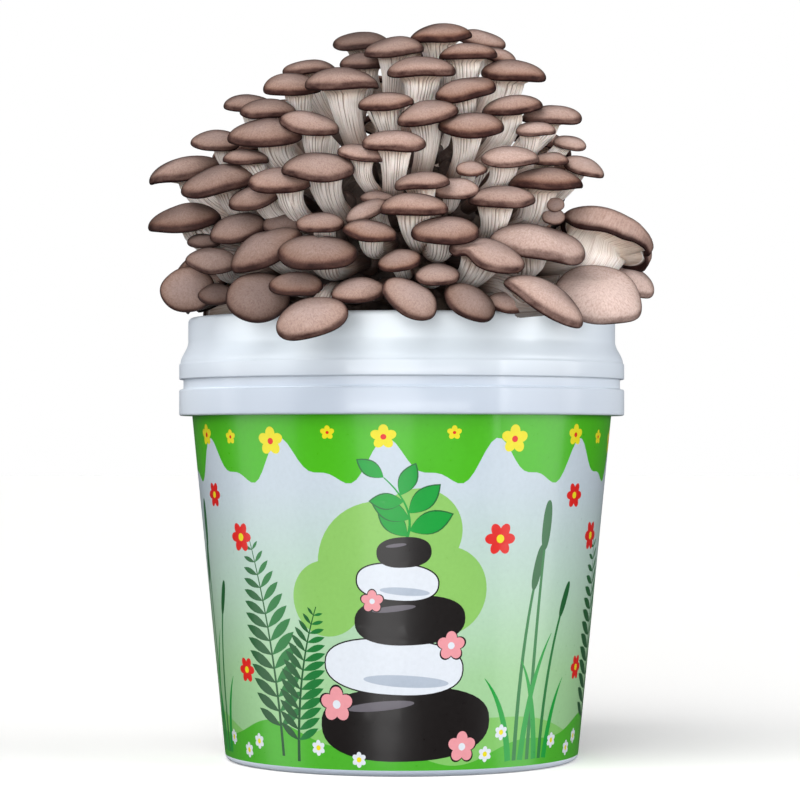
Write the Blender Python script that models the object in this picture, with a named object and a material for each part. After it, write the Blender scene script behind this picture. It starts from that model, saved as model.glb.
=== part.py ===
"""An oyster mushroom grow kit: a tapered pail with a collar lid snapped over its rim, the growing
medium inside, and a dense cluster of mushrooms that rises out of the lid's opening.

Metres, +Z up. The origin is the centre of the pail's flat underside, and -Y is the front.
"""

import math

import bmesh
import bpy
from mathutils import Matrix, Vector
from mathutils.bvhtree import BVHTree

MM = 0.001
GAP = 0.3 * MM  # between pieces that touch
ROUND_SIDES = 24

# Pail, outside first
WALL = 1.8 * MM
FOOT_RADIUS = 87.7 * MM
FOOT_CORNER = 3.0 * MM
WALL_TOP_RADIUS = 104.5 * MM
BAND_BOTTOM = 170.5 * MM
BAND_RADIUS = 111.0 * MM
BAND_TOP = 183.5 * MM
BAND_BEVEL = 1.6 * MM
NECK_RADIUS = 108.9 * MM
NECK_TOP = 196.0 * MM
RIM_TOP = 215.0 * MM

# Collar lid
SKIRT_BOTTOM = 188.5 * MM
SKIRT_TOP = 197.5 * MM
SKIRT_RADIUS = 111.0 * MM
SHOULDER_TOP = 205.5 * MM
LIP_RADIUS = 106.5 * MM
LIP_TOP = 219.0 * MM
LIP_ROUND = 1.6 * MM
INNER_LEG_BOTTOM = 202.0 * MM
COLLAR_WALL = 1.6 * MM

# Growing medium
MEDIUM_SHOULDER = 196.0 * MM
MEDIUM_TOP = 213.0 * MM
MEDIUM_TOP_RADIUS = 98.5 * MM

# Fused base of the cluster: the upper part of an ellipsoid that stands on the medium
BASE_CENTRE = Vector((0.0, 0.0, 237.0 * MM))
BASE_RADII = Vector((56.0 * MM, 48.0 * MM, 62.0 * MM))

# Dome that the outermost caps lie on
DOME_CENTRE_Z = 225.0 * MM
DOME_RADII = Vector((128.0 * MM, 118.0 * MM, 141.0 * MM))
DOME_SLOPE = 0.75  # 0.5 makes an ellipsoid, and more than that leans its front back

# Where the cluster's table is read from: a viewpoint in front of the kit, in its own turned frame
VIEW_DISTANCE = 1500.0 * MM
VIEW_HEIGHT = 158.5 * MM

# A mushroom's proportions, as shares of the cap's half width
CAP_DEPTH = 0.84
CAP_RISE = 0.46
RIM_THICKNESS = 0.10
SHOULDER_RADIUS, SHOULDER_RISE = 0.68, 0.74
THROAT_RADIUS, THROAT_DROP = 0.56, 0.22
STEM_RADII = (0.36, 0.25)  # at its middle and at its foot
SLIMMER = 0.35  # with the sine of the cap's lean: a cap that faces out has a slimmer throat and stem
STEM_OFFSET = 0.30
MORE_OFFSET = 0.65  # with the sine of the cap's lean: the stem of a cap that faces out is near its edge
STEM_BEND = 0.32
STEM_STATIONS = (0.5, 1.0)
MUSHROOM_SIDES = 6
SMALL_CAP, SMALL_SIDES = 11.0 * MM, 5
KNUCKLE_RADIUS = 6.5 * MM
BUNCH_TRIANGLES = 64  # for each mushroom of a bunch, once they are joined
FEET_APART = 13.5 * MM

# How far a cap is pushed back, a step at a time, until it is clear of those in front of it
SLIDE_STEP = 1.5 * MM
SWAYS = (0.0, 9.0 * MM, -9.0 * MM, 18.0 * MM, -18.0 * MM)
MOVES = [(step, sway) for step in range(-12, 30) for sway in SWAYS]
MOVES.sort(key=lambda move: (move[0] if move[0] >= 0 else -1.6 * move[0]) + abs(move[1]) / (3 * MM))

FRONT, RIGHT, BACK, LEFT = 0.0, 90.0, 180.0, 270.0

# Each bunch shares one foot. A row is one mushroom as it is seen from in front of its side of the
# kit, in millimetres and degrees: place across, height of the cap's middle, cap width, cap height,
# roll (right side down), and how far it stands behind the dome.
BUNCHES = {
    "top_1": (FRONT, ((19, 362, 32, 9, -5, 0), (40, 359, 25, 9, 12, 22))),
    "top_2": (FRONT, ((33, 353, 29, 8, -3, 0), (48, 351, 20, 8, 15, 20))),
    "top_3": (FRONT, ((-4, 355, 30, 10, -5, 0), (-20, 358, 29, 9, 0, 16))),
    "top_4": (FRONT, ((-19, 348, 25, 8, 0, 10), (-46, 345, 28, 7, 0, 24))),
    "top_5": (FRONT, ((10, 345, 35, 10, -2, 0), (-8, 328, 28, 9, -5, 0))),
    "top_6": (FRONT, ((32, 334, 31, 12, -12, 0), (56, 343, 33, 11, 4, 4))),
    "top_7": (FRONT, ((13, 322, 32, 12, -12, 0),)),
    "left_1": (
        FRONT,
        ((-55, 336, 29, 12, 0, 0), (-77, 327, 25, 9, 0, 10), (-67, 324, 29, 10, 0, 0)),
    ),
    "left_2": (FRONT, ((-30, 339, 37, 11, 0, 0),)),
    "left_3": (FRONT, ((-46, 317, 31, 12, 10, 0), (-68, 312, 38, 15, -3, 0))),
    "left_4": (FRONT, ((-93, 308, 25, 11, 0, 0), (-78, 300, 23, 8, 0, 4))),
    "left_5": (FRONT, ((-109, 294, 37, 12, -12, 6), (-92, 288, 38, 15, -12, 0))),
    "left_6": (
        FRONT,
        ((-61, 288, 32, 13, 0, 0), (-73, 280, 28, 13, -15, 4), (-60, 266, 20, 12, 0, 12)),
    ),
    "left_7": (FRONT, ((-42, 295, 37, 15, 0, 0),)),
    "left_8": (FRONT, ((-109, 269, 37, 14, -8, 0), (-99, 258, 17, 8, 0, 8))),
    "left_9": (
        FRONT,
        ((-82, 264, 30, 15, -12, 0), (-95, 248, 26, 14, 5, 0), (-93, 231, 18, 12, 0, 4)),
    ),
    "left_10": (FRONT, ((-68, 254, 39, 18, -27, 0),)),
    "left_11": (FRONT, ((-107, 233, 28, 25, 0, 0),)),
    "left_12": (FRONT, ((-41, 267, 24, 11, 0, 0), (-42, 252, 40, 19, 0, 0))),
    "low_1": (FRONT, ((-72, 229, 33, 27, 0, 0),)),
    "low_2": (FRONT, ((-53, 236, 27, 13, 0, 4), (-45, 219, 37, 22, -15, -12))),
    "low_3": (FRONT, ((-1, 248, 22, 12, -12, 4), (18, 241, 23, 12, 0, 2))),
    "low_4": (FRONT, ((-22, 233, 27, 14, -8, 0), (4, 229, 30, 19, 30, -2))),
    "low_5": (FRONT, ((43, 251, 39, 15, 15, -3), (34, 227, 28, 18, 30, -2))),
    "low_6": (FRONT, ((72, 229, 44, 16, 28, -2), (52, 227, 20, 11, 8, 4))),
    "middle_1": (FRONT, ((-4, 308, 32, 11, 0, 0), (-21, 302, 23, 9, 10, 0))),
    "middle_2": (
        FRONT,
        ((-12, 280, 18, 6, 0, 8), (-18, 273, 22, 10, -25, 4), (-16, 263, 27, 12, 8, 0)),
    ),
    "middle_3": (
        FRONT,
        ((10, 288, 28, 9, -5, 0), (27, 284, 23, 12, 0, 6), (35, 294, 16, 8, 0, 8)),
    ),
    "middle_4": (FRONT, ((6, 276, 34, 12, 0, 9), (22, 263, 34, 15, 0, -2))),
    "right_1": (FRONT, ((55, 326, 31, 10, -8, 0), (35, 316, 33, 13, 0, 0))),
    "right_2": (
        FRONT,
        ((75, 321, 30, 10, 0, 0), (67, 314, 20, 8, 0, 0), (84, 307, 17, 8, 8, 0)),
    ),
    "right_3": (FRONT, ((54, 300, 29, 11, 0, 0), (74, 299, 20, 7, 0, 14))),
    "right_4": (
        FRONT,
        ((91, 295, 22, 10, 20, 0), (73, 295, 34, 9, 0, 14), (72, 289, 38, 11, 0, 0)),
    ),
    "right_5": (FRONT, ((50, 280, 34, 11, 0, 8), (76, 270, 12, 9, 0, 12), (77, 276, 9, 8, 0, 18))),
    "right_6": (FRONT, ((68, 257, 49, 19, 8, 6),)),
    "right_7": (FRONT, ((103, 260, 50, -28, 24, 6),)),
    "right_8": (FRONT, ((98, 230, 46, 32, 10, 0), (112, 239, 32, 15, 25, 12))),
    "side_1": (
        RIGHT,
        ((-14, 236, 40, 24, -6, 16), (-4, 253, 40, 18, 0, 18), (-14, 271, 40, 16, 0, 16)),
    ),
    "side_2": (
        RIGHT,
        ((31, 234, 40, 24, 8, 14), (38, 251, 40, 17, 6, 10), (28, 270, 40, 16, 4, 16)),
    ),
    "side_3": (
        RIGHT,
        ((4, 292, 40, 15, 0, 32), (-4, 314, 38, 14, 0, 12), (36, 311, 38, 14, 4, 10)),
    ),
    "side_4": (
        LEFT,
        ((30, 236, 38, 23, 8, 20), (24, 253, 42, 17, 0, 22), (-14, 273, 40, 16, 0, 16)),
    ),
    "side_5": (
        LEFT,
        ((-13, 238, 40, 22, -6, 26), (-22, 253, 42, 18, -5, 14), (-38, 291, 38, 15, -6, 6)),
    ),
    "side_6": (LEFT, ((-4, 312, 38, 13, 0, 4), (-42, 313, 36, 13, 0, 6), (-8, 331, 34, 12, 0, 4))),
    "back_1": (
        BACK,
        ((-92, 229, 34, 26, -6, 0), (-98, 252, 36, 15, -8, 0), (-80, 271, 34, 13, -6, 4)),
    ),
    "back_2": (
        BACK,
        ((-56, 227, 38, 24, -10, 0), (-62, 249, 38, 18, -6, 0), (-46, 270, 36, 14, 0, 2)),
    ),
    "back_3": (
        BACK,
        ((-17, 229, 38, 23, 6, 0), (-22, 252, 40, 19, -4, 0), (-8, 272, 36, 14, 0, 2)),
    ),
    "back_4": (
        BACK,
        ((23, 226, 38, 26, 12, -2), (19, 250, 38, 17, 0, 0), (30, 271, 34, 13, 5, 2)),
    ),
    "back_5": (
        BACK,
        ((61, 229, 36, 22, 8, 0), (60, 251, 38, 18, 5, 0), (66, 271, 36, 15, 6, 2)),
    ),
    "back_6": (BACK, ((94, 229, 34, 25, 10, 0), (98, 252, 36, 16, 8, 2))),
    "back_7": (
        BACK,
        ((-66, 291, 36, 13, -5, 0), (-28, 291, 36, 13, 0, 0), (-47, 311, 34, 12, -5, 0)),
    ),
    "back_8": (
        BACK,
        ((10, 290, 36, 13, 0, 0), (47, 292, 36, 12, 5, 0), (28, 311, 34, 12, 0, 0)),
    ),
    "back_9": (
        BACK,
        ((82, 291, 32, 12, 8, 6), (64, 312, 34, 12, 6, 0), (42, 331, 32, 11, 5, 0)),
    ),
    "back_10": (
        BACK,
        ((-10, 311, 36, 12, 0, 0), (-30, 331, 32, 11, -5, 0), (6, 332, 34, 11, 0, 0)),
    ),
    "back_11": (
        BACK,
        ((-16, 349, 30, 10, 0, 2), (16, 346, 28, 10, 4, 0), (2, 359, 28, 9, 0, 4)),
    ),
}

# Seen height over seen width of a cap, and how far its top leans towards the viewer in degrees
LEAN_BY_RATIO = ((0.25, 0.0), (0.34, 10.0), (0.44, 20.0), (0.60, 35.0), (0.74, 50.0), (0.90, 72.0))


def clear_scene():
    for obj in list(bpy.data.objects):
        bpy.data.objects.remove(obj, do_unlink=True)


def make_material(name, colour, roughness):
    material = bpy.data.materials.new(name)
    material.use_nodes = True
    shader = material.node_tree.nodes["Principled BSDF"]
    shader.inputs["Base Color"].default_value = (*colour, 1.0)
    shader.inputs["Roughness"].default_value = roughness
    shader.inputs["Metallic"].default_value = 0.0
    return material


def add_object(name, bm, material):
    """The bmesh as one named object, with its faces pointing out and round parts shaded smooth."""
    bmesh.ops.recalc_face_normals(bm, faces=bm.faces)
    mesh = bpy.data.meshes.new(name)
    bm.to_mesh(mesh)
    bm.free()
    mesh.materials.append(material)
    mesh.shade_smooth()
    mesh.set_sharp_from_angle(angle=math.radians(40))
    obj = bpy.data.objects.new(name, mesh)
    bpy.context.scene.collection.objects.link(obj)
    return obj


def turned(outline, sides):
    """A closed bmesh turned about Z from a closed outline of (radius, height) points. An outline
    that starts and ends on the axis closes there."""
    bm = bmesh.new()
    rings = []
    for radius, height in outline:
        if radius == 0.0:
            rings.append([bm.verts.new((0.0, 0.0, height))] * sides)
            continue
        angles = [2 * math.pi * i / sides for i in range(sides)]
        ring = [(radius * math.cos(a), radius * math.sin(a), height) for a in angles]
        rings.append([bm.verts.new(point) for point in ring])
    pairs = list(zip(rings, rings[1:]))
    if outline[0][0] != 0.0:
        pairs.append((rings[-1], rings[0]))
    for lower, upper in pairs:
        for i in range(sides):
            j = (i + 1) % sides
            corners = list(dict.fromkeys((lower[i], lower[j], upper[j], upper[i])))
            if len(corners) > 2:
                bm.faces.new(corners)
    return bm


def arc(centre, radius, start, end, steps):
    """Points of an arc in the outline's plane, from one angle to another in degrees."""
    points = []
    for i in range(steps + 1):
        angle = math.radians(start + (end - start) * i / steps)
        points.append((centre[0] + radius * math.cos(angle), centre[1] + radius * math.sin(angle)))
    return points


def wall_radius(height):
    """Outer radius of the pail's tapered wall at a height."""
    return FOOT_RADIUS + (WALL_TOP_RADIUS - FOOT_RADIUS) * height / BAND_BOTTOM


def pail_outline():
    corner = (wall_radius(FOOT_CORNER) - FOOT_CORNER, FOOT_CORNER)
    return [
        (0.0, 0.0),
        *arc(corner, FOOT_CORNER, -90, 0, 2),
        (WALL_TOP_RADIUS, BAND_BOTTOM),
        (BAND_RADIUS, BAND_BOTTOM),
        (BAND_RADIUS, BAND_TOP - BAND_BEVEL),
        (BAND_RADIUS - BAND_BEVEL, BAND_TOP),
        (NECK_RADIUS, BAND_TOP),
        (NECK_RADIUS, NECK_TOP),
        (WALL_TOP_RADIUS, NECK_TOP + 2 * WALL),
        (WALL_TOP_RADIUS, RIM_TOP),
        (WALL_TOP_RADIUS - WALL, RIM_TOP),
        (WALL_TOP_RADIUS - WALL, BAND_BOTTOM),
        (FOOT_RADIUS - WALL, WALL),
        (0.0, WALL),
    ]


def collar_outline():
    """Skirt, hollow shoulder, lip and an inner leg: a channel that straddles the pail's rim."""
    step = (SKIRT_RADIUS - LIP_RADIUS) / 3
    rise = (SHOULDER_TOP - SKIRT_TOP) / 3
    inner = LIP_RADIUS - COLLAR_WALL
    leg = WALL_TOP_RADIUS - WALL - 2 * GAP
    lip = (LIP_RADIUS - LIP_ROUND, LIP_TOP - LIP_ROUND)
    return [
        (SKIRT_RADIUS, SKIRT_BOTTOM),
        (SKIRT_RADIUS, SKIRT_TOP - rise),
        (SKIRT_RADIUS - step * 0.5, SKIRT_TOP),
        (SKIRT_RADIUS - step * 2, SKIRT_TOP + rise),
        (LIP_RADIUS, SHOULDER_TOP),
        *arc(lip, LIP_ROUND, 0, 90, 2),
        (leg - COLLAR_WALL, LIP_TOP),
        (leg - COLLAR_WALL, INNER_LEG_BOTTOM),
        (leg, INNER_LEG_BOTTOM),
        (leg, RIM_TOP + GAP * 2),
        (inner, RIM_TOP + GAP * 2),
        (inner, SHOULDER_TOP),
        (SKIRT_RADIUS - COLLAR_WALL, SKIRT_TOP),
        (SKIRT_RADIUS - COLLAR_WALL, SKIRT_BOTTOM),
    ]


def medium_outline():
    inside = FOOT_RADIUS - WALL - GAP
    shoulder = WALL_TOP_RADIUS - WALL - 2 * GAP
    return [
        (0.0, WALL + GAP),
        (inside - GAP, WALL + GAP),
        (shoulder, BAND_BOTTOM),
        (shoulder, MEDIUM_SHOULDER),
        (MEDIUM_TOP_RADIUS, MEDIUM_SHOULDER + 4 * MM),
        (MEDIUM_TOP_RADIUS, MEDIUM_TOP),
        (0.0, MEDIUM_TOP),
    ]


def base_outline():
    """The ellipsoid's outline above its flat foot, as if it were round."""
    floor = MEDIUM_TOP + GAP
    low = math.asin((floor - BASE_CENTRE.z) / BASE_RADII.z)
    steps = 5
    outline = [(0.0, floor)]
    for i in range(steps):
        angle = low + (math.pi / 2 - low) * i / steps
        outline.append(
            (BASE_RADII.x * math.cos(angle), BASE_CENTRE.z + BASE_RADII.z * math.sin(angle))
        )
    return [*outline, (0.0, BASE_CENTRE.z + BASE_RADII.z)]


def base_bmesh():
    bm = turned(base_outline(), 14)
    flatten = Matrix.Diagonal((1.0, BASE_RADII.y / BASE_RADII.x, 1.0, 1.0))
    bmesh.ops.transform(bm, matrix=flatten, verts=bm.verts)
    bmesh.ops.recalc_face_normals(bm, faces=bm.faces)
    return bm


def lean_for(ratio):
    """The cap's lean for a seen height over width, read between the rows of LEAN_BY_RATIO."""
    for (low, lean), (high, more) in zip(LEAN_BY_RATIO, LEAN_BY_RATIO[1:]):
        if ratio <= high:
            share = max(0.0, (ratio - low) / (high - low))
            return lean + (more - lean) * share
    return LEAN_BY_RATIO[-1][1]


def middle_above_rim(lean):
    """How far the middle of a leaning cap's seen height is above its rim's centre, for a half
    width of 1: the dome's edge is seen above that centre, and the near rim below it."""
    lean = math.radians(lean)
    above = math.hypot(CAP_RISE * math.cos(lean), CAP_DEPTH * math.sin(lean))
    below = CAP_DEPTH * abs(math.sin(lean)) + RIM_THICKNESS
    return (above - below) / 2


class Mushroom:
    """One mushroom of the table, placed at a depth behind its viewpoint."""

    def __init__(self, side, row):
        across, height, width, tall, roll, behind = row
        self.turn = Matrix.Rotation(math.radians(side), 3, "Z")
        self.seen = Vector((across * MM, 0.0, height * MM))
        self.seen_half = width * MM / 2
        up_view = math.degrees(math.atan2(self.seen.z - VIEW_HEIGHT, VIEW_DISTANCE))
        lean = math.copysign(lean_for(abs(tall) / width), tall)
        tip = Matrix.Rotation(math.radians(lean + up_view), 3, "X")
        rolled = Matrix.Rotation(math.radians(roll), 3, "Y")
        self.axes = self.turn @ rolled @ tip
        self.seen -= rolled @ Vector((0.0, 0.0, self.seen_half * middle_above_rim(lean)))
        self.sine_of_lean = math.sin(math.radians(lean))
        self.slim = 1.0 - SLIMMER * max(0.0, self.sine_of_lean)
        self.start = self.dome_depth() + behind * MM
        self.place(self.start, 0.0)

    def dome_depth(self):
        """Depth of the dome's front along the line of sight, or of its edge beside it."""
        rise = max(0.0, self.seen.z - DOME_CENTRE_Z) / DOME_RADII.z
        left = max(0.0, 1.0 - rise**2)
        across = (self.seen.x / DOME_RADII.x) ** 2 / max(left, 0.01)
        return -DOME_RADII.y * left**DOME_SLOPE * math.sqrt(max(0.0, 1.0 - across))

    def place(self, depth, sway):
        """Puts the cap at this depth on its line of sight, where it is seen at the same size, and
        bends its stem sideways by the sway."""
        self.sway = sway
        nearness = (VIEW_DISTANCE + depth) / VIEW_DISTANCE
        eye = Vector((0.0, -VIEW_DISTANCE, VIEW_HEIGHT))
        self.depth = depth
        self.centre = self.turn @ (eye + (self.seen - eye) * nearness)
        self.half = self.seen_half * nearness

    def outward(self):
        return (self.centre - BASE_CENTRE).normalized()

    def throat(self):
        """Where the gills run into the stem, a little towards the cluster's middle."""
        across, back, up = self.axes.col
        inward = -self.outward()
        along = inward - up * inward.dot(up)
        drop = up * (self.half * THROAT_DROP)
        offset = STEM_OFFSET + MORE_OFFSET * max(0.0, self.sine_of_lean)
        return self.centre + along * (self.half * offset) - drop

    def spine(self, foot, share):
        """A point of the stem's curve, and its direction there, from the throat to the foot."""
        start = self.throat()
        up = self.axes.col[2]
        reach = (foot.end - start).length
        first = start - up * (reach * STEM_BEND)
        last = foot.end + foot.normal * (reach * STEM_BEND)
        aside = Vector((0.0, 0.0, 1.0)).cross(self.outward()).normalized() * self.sway
        first += aside
        last += aside
        lowest = LIP_TOP + self.half * STEM_RADII[0] * self.slim * 2.0 + 4 * GAP
        first.z = max(first.z, lowest)
        last.z = max(last.z, lowest)
        rest = 1.0 - share
        point = start * rest**3 + first * (3 * rest**2 * share)
        point += last * (3 * rest * share**2) + foot.end * share**3
        heading = (first - start) * rest**2 + (last - first) * (2 * rest * share)
        heading += (foot.end - last) * share**2
        return point, heading.normalized()

    def rings(self, foot):
        """The mushroom's outline rings from crown to foot, and its two end points."""
        sides = SMALL_SIDES if self.half < SMALL_CAP else MUSHROOM_SIDES
        across, back, up = (axis.copy() for axis in self.axes.col)
        rise = self.half * CAP_RISE
        swell = 1.0 / math.cos(math.pi / sides) ** 0.5

        def ring(centre, wide, deep, first, second):
            wide, deep = wide * swell, deep * swell
            angles = [2 * math.pi * (i + 0.5) / sides for i in range(sides)]
            return [centre + first * (wide * math.cos(a)) + second * (deep * math.sin(a)) for a in angles]

        deep = self.half * CAP_DEPTH
        shoulder = self.centre + up * (rise * SHOULDER_RISE)
        wide = self.half * SHOULDER_RADIUS
        found = [
            ring(shoulder, wide, deep * SHOULDER_RADIUS, across, back),
            ring(self.centre, self.half, deep, across, back),
        ]
        throat_half = self.half * THROAT_RADIUS * self.slim
        found.append(ring(self.throat(), throat_half, throat_half * CAP_DEPTH, across, back))
        heading = -up
        for share, radius in zip(STEM_STATIONS, STEM_RADII):
            stem = self.half * radius * self.slim
            point, new_heading = self.spine(foot, share)
            if share == 1.0 and not foot.knuckle:
                new_heading = -foot.normal
            turn = heading.rotation_difference(new_heading)
            across, back, heading = turn @ across, turn @ back, new_heading
            found.append(ring(point, stem, stem, across, back))
        return self.centre + up * rise, found, foot.end

    def shell(self, foot, whole=True):
        """Points and faces of the closed shape, or of only its cap and throat."""
        crown, rings, end = self.rings(foot)
        if not whole:
            rings = rings[:3]
            end = self.throat()
        sides = len(rings[0])
        points = [crown, *(point for ring in rings for point in ring), end]
        last = len(points) - 1
        faces = []
        for i in range(sides):
            j = (i + 1) % sides
            faces.append((0, 1 + j, 1 + i))
            faces.append((last, last - sides + i, last - sides + j))
            for k in range(len(rings) - 1):
                low, high = 1 + k * sides, 1 + (k + 1) * sides
                faces.append((low + i, low + j, high + j))
                faces.append((low + i, high + j, high + i))
        return points, faces


class Foot:
    """Where a bunch stands on the cluster's base, and which way it grows from there. The stems of
    a bunch of several end in the middle of one knuckle."""

    def __init__(self, base, direction, several):
        self.knuckle = KNUCKLE_RADIUS if several else 0.0
        self.aim(base, direction)

    def aim(self, base, direction):
        outside = BASE_CENTRE + direction * (3 * max(BASE_RADII))
        self.stand, self.normal, _, _ = base.ray_cast(outside, -direction)
        self.end = self.stand + self.normal * (GAP + self.knuckle)


def lowest_allowed(direction):
    """A foot keeps above the base's flat underside."""
    direction = direction.copy()
    direction.z = max(direction.z, -0.12)
    return direction.normalized()


def spread_feet(base, feet):
    """Moves feet that stand too close together apart, along the base."""
    for _ in range(160):
        for i, one in enumerate(feet):
            for other in feet[i + 1 :]:
                between = other.stand - one.stand
                short = FEET_APART - between.length
                if short <= 0.0:
                    continue
                push = between.normalized() * (short * 0.3)
                for foot, shift in ((one, -push), (other, push)):
                    moved = foot.stand + shift - BASE_CENTRE
                    foot.aim(base, lowest_allowed(moved.normalized()))


def grow_cluster(base, obstacles):
    """Places every mushroom of the table clear of the others, and returns the bunches with their
    feet. The foremost ones are placed first, and each next one is pushed back until it is clear."""
    bunches = {}
    for name, (side, rows) in BUNCHES.items():
        members = [Mushroom(side, row) for row in rows]
        middle = sum((member.outward() for member in members), Vector()) / len(members)
        foot = Foot(base, lowest_allowed(middle.normalized()), len(members) > 1)
        bunches[name] = (members, foot)
    spread_feet(base, [foot for _, foot in bunches.values()])
    waiting = [(member, name) for name, (members, _) in bunches.items() for member in members]
    waiting.sort(key=lambda pair: pair[0].start)
    placed = []
    for member, name in waiting:
        foot = bunches[name][1]
        for step, sway in MOVES:
            member.place(member.start + step * SLIDE_STEP, sway)
            whole = BVHTree.FromPolygons(*member.shell(foot))
            cap = BVHTree.FromPolygons(*member.shell(foot, whole=False))
            if is_clear(name, whole, cap, placed, obstacles):
                break
        else:
            raise ValueError(f"{name} has a mushroom with no free place")
        placed.append((name, whole, cap))
    return bunches


def is_clear(name, whole, cap, placed, obstacles):
    """Whether a mushroom meets nothing. Stems of one bunch may meet, but not its caps."""
    for other_name, other_whole, other_cap in placed:
        if cap.overlap(other_cap) if other_name == name else whole.overlap(other_whole):
            return False
    return not any(whole.overlap(obstacle) for obstacle in obstacles)


def shape_bmesh(points, faces):
    bm = bmesh.new()
    verts = [bm.verts.new(point) for point in points]
    for face in faces:
        bm.faces.new([verts[i] for i in face])
    return bm


def knuckle_bmesh(foot):
    bm = bmesh.new()
    place = Matrix.Translation(foot.end) @ foot.normal.to_track_quat("Z", "Y").to_matrix().to_4x4()
    bmesh.ops.create_icosphere(bm, subdivisions=1, radius=foot.knuckle, matrix=place)
    return bm


def add_bunch(name, members, foot, material):
    """A bunch as one object: its mushrooms, joined with their knuckle where there are several."""
    shapes = [shape_bmesh(*member.shell(foot)) for member in members]
    if not foot.knuckle:
        return add_object(name, shapes[0], material)
    body = add_object(name, knuckle_bmesh(foot), material)
    helpers = [add_object(f"{name}_shape", shape, material) for shape in shapes]
    for helper in helpers:
        union = body.modifiers.new("grown_together", "BOOLEAN")
        union.operation = "UNION"
        union.object = helper
    apply_modifiers(body)
    for helper in helpers:
        bpy.data.objects.remove(helper, do_unlink=True)
    body.data.calc_loop_triangles()
    thin_out = body.modifiers.new("thin_out", "DECIMATE")
    thin_out.ratio = min(1.0, BUNCH_TRIANGLES * len(members) / len(body.data.loop_triangles))
    apply_modifiers(body)
    return body


def apply_modifiers(body):
    graph = bpy.context.evaluated_depsgraph_get()
    mesh = bpy.data.meshes.new_from_object(body.evaluated_get(graph))
    mesh.name = body.name
    body.modifiers.clear()
    body.data = mesh


def main():
    clear_scene()
    plastic = make_material("white_plastic", (0.80, 0.85, 0.90), 0.30)
    soil = make_material("growing_medium", (0.30, 0.20, 0.12), 0.95)
    flesh = make_material("pale_flesh", (0.80, 0.74, 0.66), 0.70)
    cap = make_material("brown_flesh", (0.36, 0.27, 0.22), 0.55)
    add_object("pail", turned(pail_outline(), ROUND_SIDES), plastic)
    add_object("collar_lid", turned(collar_outline(), ROUND_SIDES), plastic)
    add_object("growing_medium", turned(medium_outline(), ROUND_SIDES), soil)
    add_object("cluster_base", base_bmesh(), flesh)
    base = BVHTree.FromBMesh(base_bmesh())
    collar = BVHTree.FromBMesh(turned(collar_outline(), ROUND_SIDES))
    medium = BVHTree.FromBMesh(turned(medium_outline(), ROUND_SIDES))
    for name, (members, foot) in grow_cluster(base, (base, collar, medium)).items():
        add_bunch(name, members, foot, cap)


main()
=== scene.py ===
"""An oyster mushroom grow kit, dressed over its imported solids.

The first part repeats the placing of the mushrooms, so that each detailed one grows where its
solid is. Metres, +Z up, and -Y is the front.
"""

import math

import bmesh
import bpy
import numpy as np
from mathutils import Matrix, Vector
from mathutils import noise as mathutils_noise
from mathutils.bvhtree import BVHTree
from mathutils.geometry import delaunay_2d_cdt


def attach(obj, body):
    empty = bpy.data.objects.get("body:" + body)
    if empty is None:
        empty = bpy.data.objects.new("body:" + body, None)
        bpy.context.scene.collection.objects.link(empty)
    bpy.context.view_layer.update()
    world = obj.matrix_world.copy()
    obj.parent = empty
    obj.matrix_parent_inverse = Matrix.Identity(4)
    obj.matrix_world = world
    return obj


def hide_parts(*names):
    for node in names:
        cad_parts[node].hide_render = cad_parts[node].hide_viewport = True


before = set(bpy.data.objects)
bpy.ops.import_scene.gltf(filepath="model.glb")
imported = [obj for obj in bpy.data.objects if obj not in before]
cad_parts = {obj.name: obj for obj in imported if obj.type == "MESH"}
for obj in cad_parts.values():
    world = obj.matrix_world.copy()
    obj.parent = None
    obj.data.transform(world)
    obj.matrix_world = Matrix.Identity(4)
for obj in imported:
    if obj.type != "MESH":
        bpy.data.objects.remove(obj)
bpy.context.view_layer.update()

MM = 0.001
GAP = 0.3 * MM  # between pieces that touch
ROUND_SIDES = 24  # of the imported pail, lid and medium
BASE_STEPS, BASE_CORNERS = 5, 14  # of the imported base, up its side and round it

# Pail, outside first
WALL = 1.8 * MM
FOOT_RADIUS = 87.7 * MM
FOOT_CORNER = 3.0 * MM
WALL_TOP_RADIUS = 104.5 * MM
BAND_BOTTOM = 170.5 * MM
BAND_RADIUS = 111.0 * MM
BAND_TOP = 183.5 * MM
NECK_RADIUS = 108.9 * MM
NECK_TOP = 196.0 * MM
RIM_TOP = 215.0 * MM

# Collar lid
SKIRT_BOTTOM = 188.5 * MM
SKIRT_TOP = 197.5 * MM
SKIRT_RADIUS = 111.0 * MM
SHOULDER_TOP = 205.5 * MM
LIP_RADIUS = 106.5 * MM
LIP_TOP = 219.0 * MM
LIP_ROUND = 1.6 * MM
INNER_LEG_BOTTOM = 202.0 * MM
COLLAR_WALL = 1.6 * MM

# Growing medium
MEDIUM_SHOULDER = 196.0 * MM
MEDIUM_TOP = 213.0 * MM
MEDIUM_TOP_RADIUS = 98.5 * MM

# Fused base of the cluster: the upper part of an ellipsoid that stands on the medium
BASE_CENTRE = Vector((0.0, 0.0, 237.0 * MM))
BASE_RADII = Vector((56.0 * MM, 48.0 * MM, 62.0 * MM))

# Dome that the outermost caps lie on
DOME_CENTRE_Z = 225.0 * MM
DOME_RADII = Vector((128.0 * MM, 118.0 * MM, 141.0 * MM))
DOME_SLOPE = 0.75  # 0.5 makes an ellipsoid, and more than that leans its front back

VIEW_DISTANCE = 1500.0 * MM
VIEW_HEIGHT = 158.5 * MM

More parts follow.
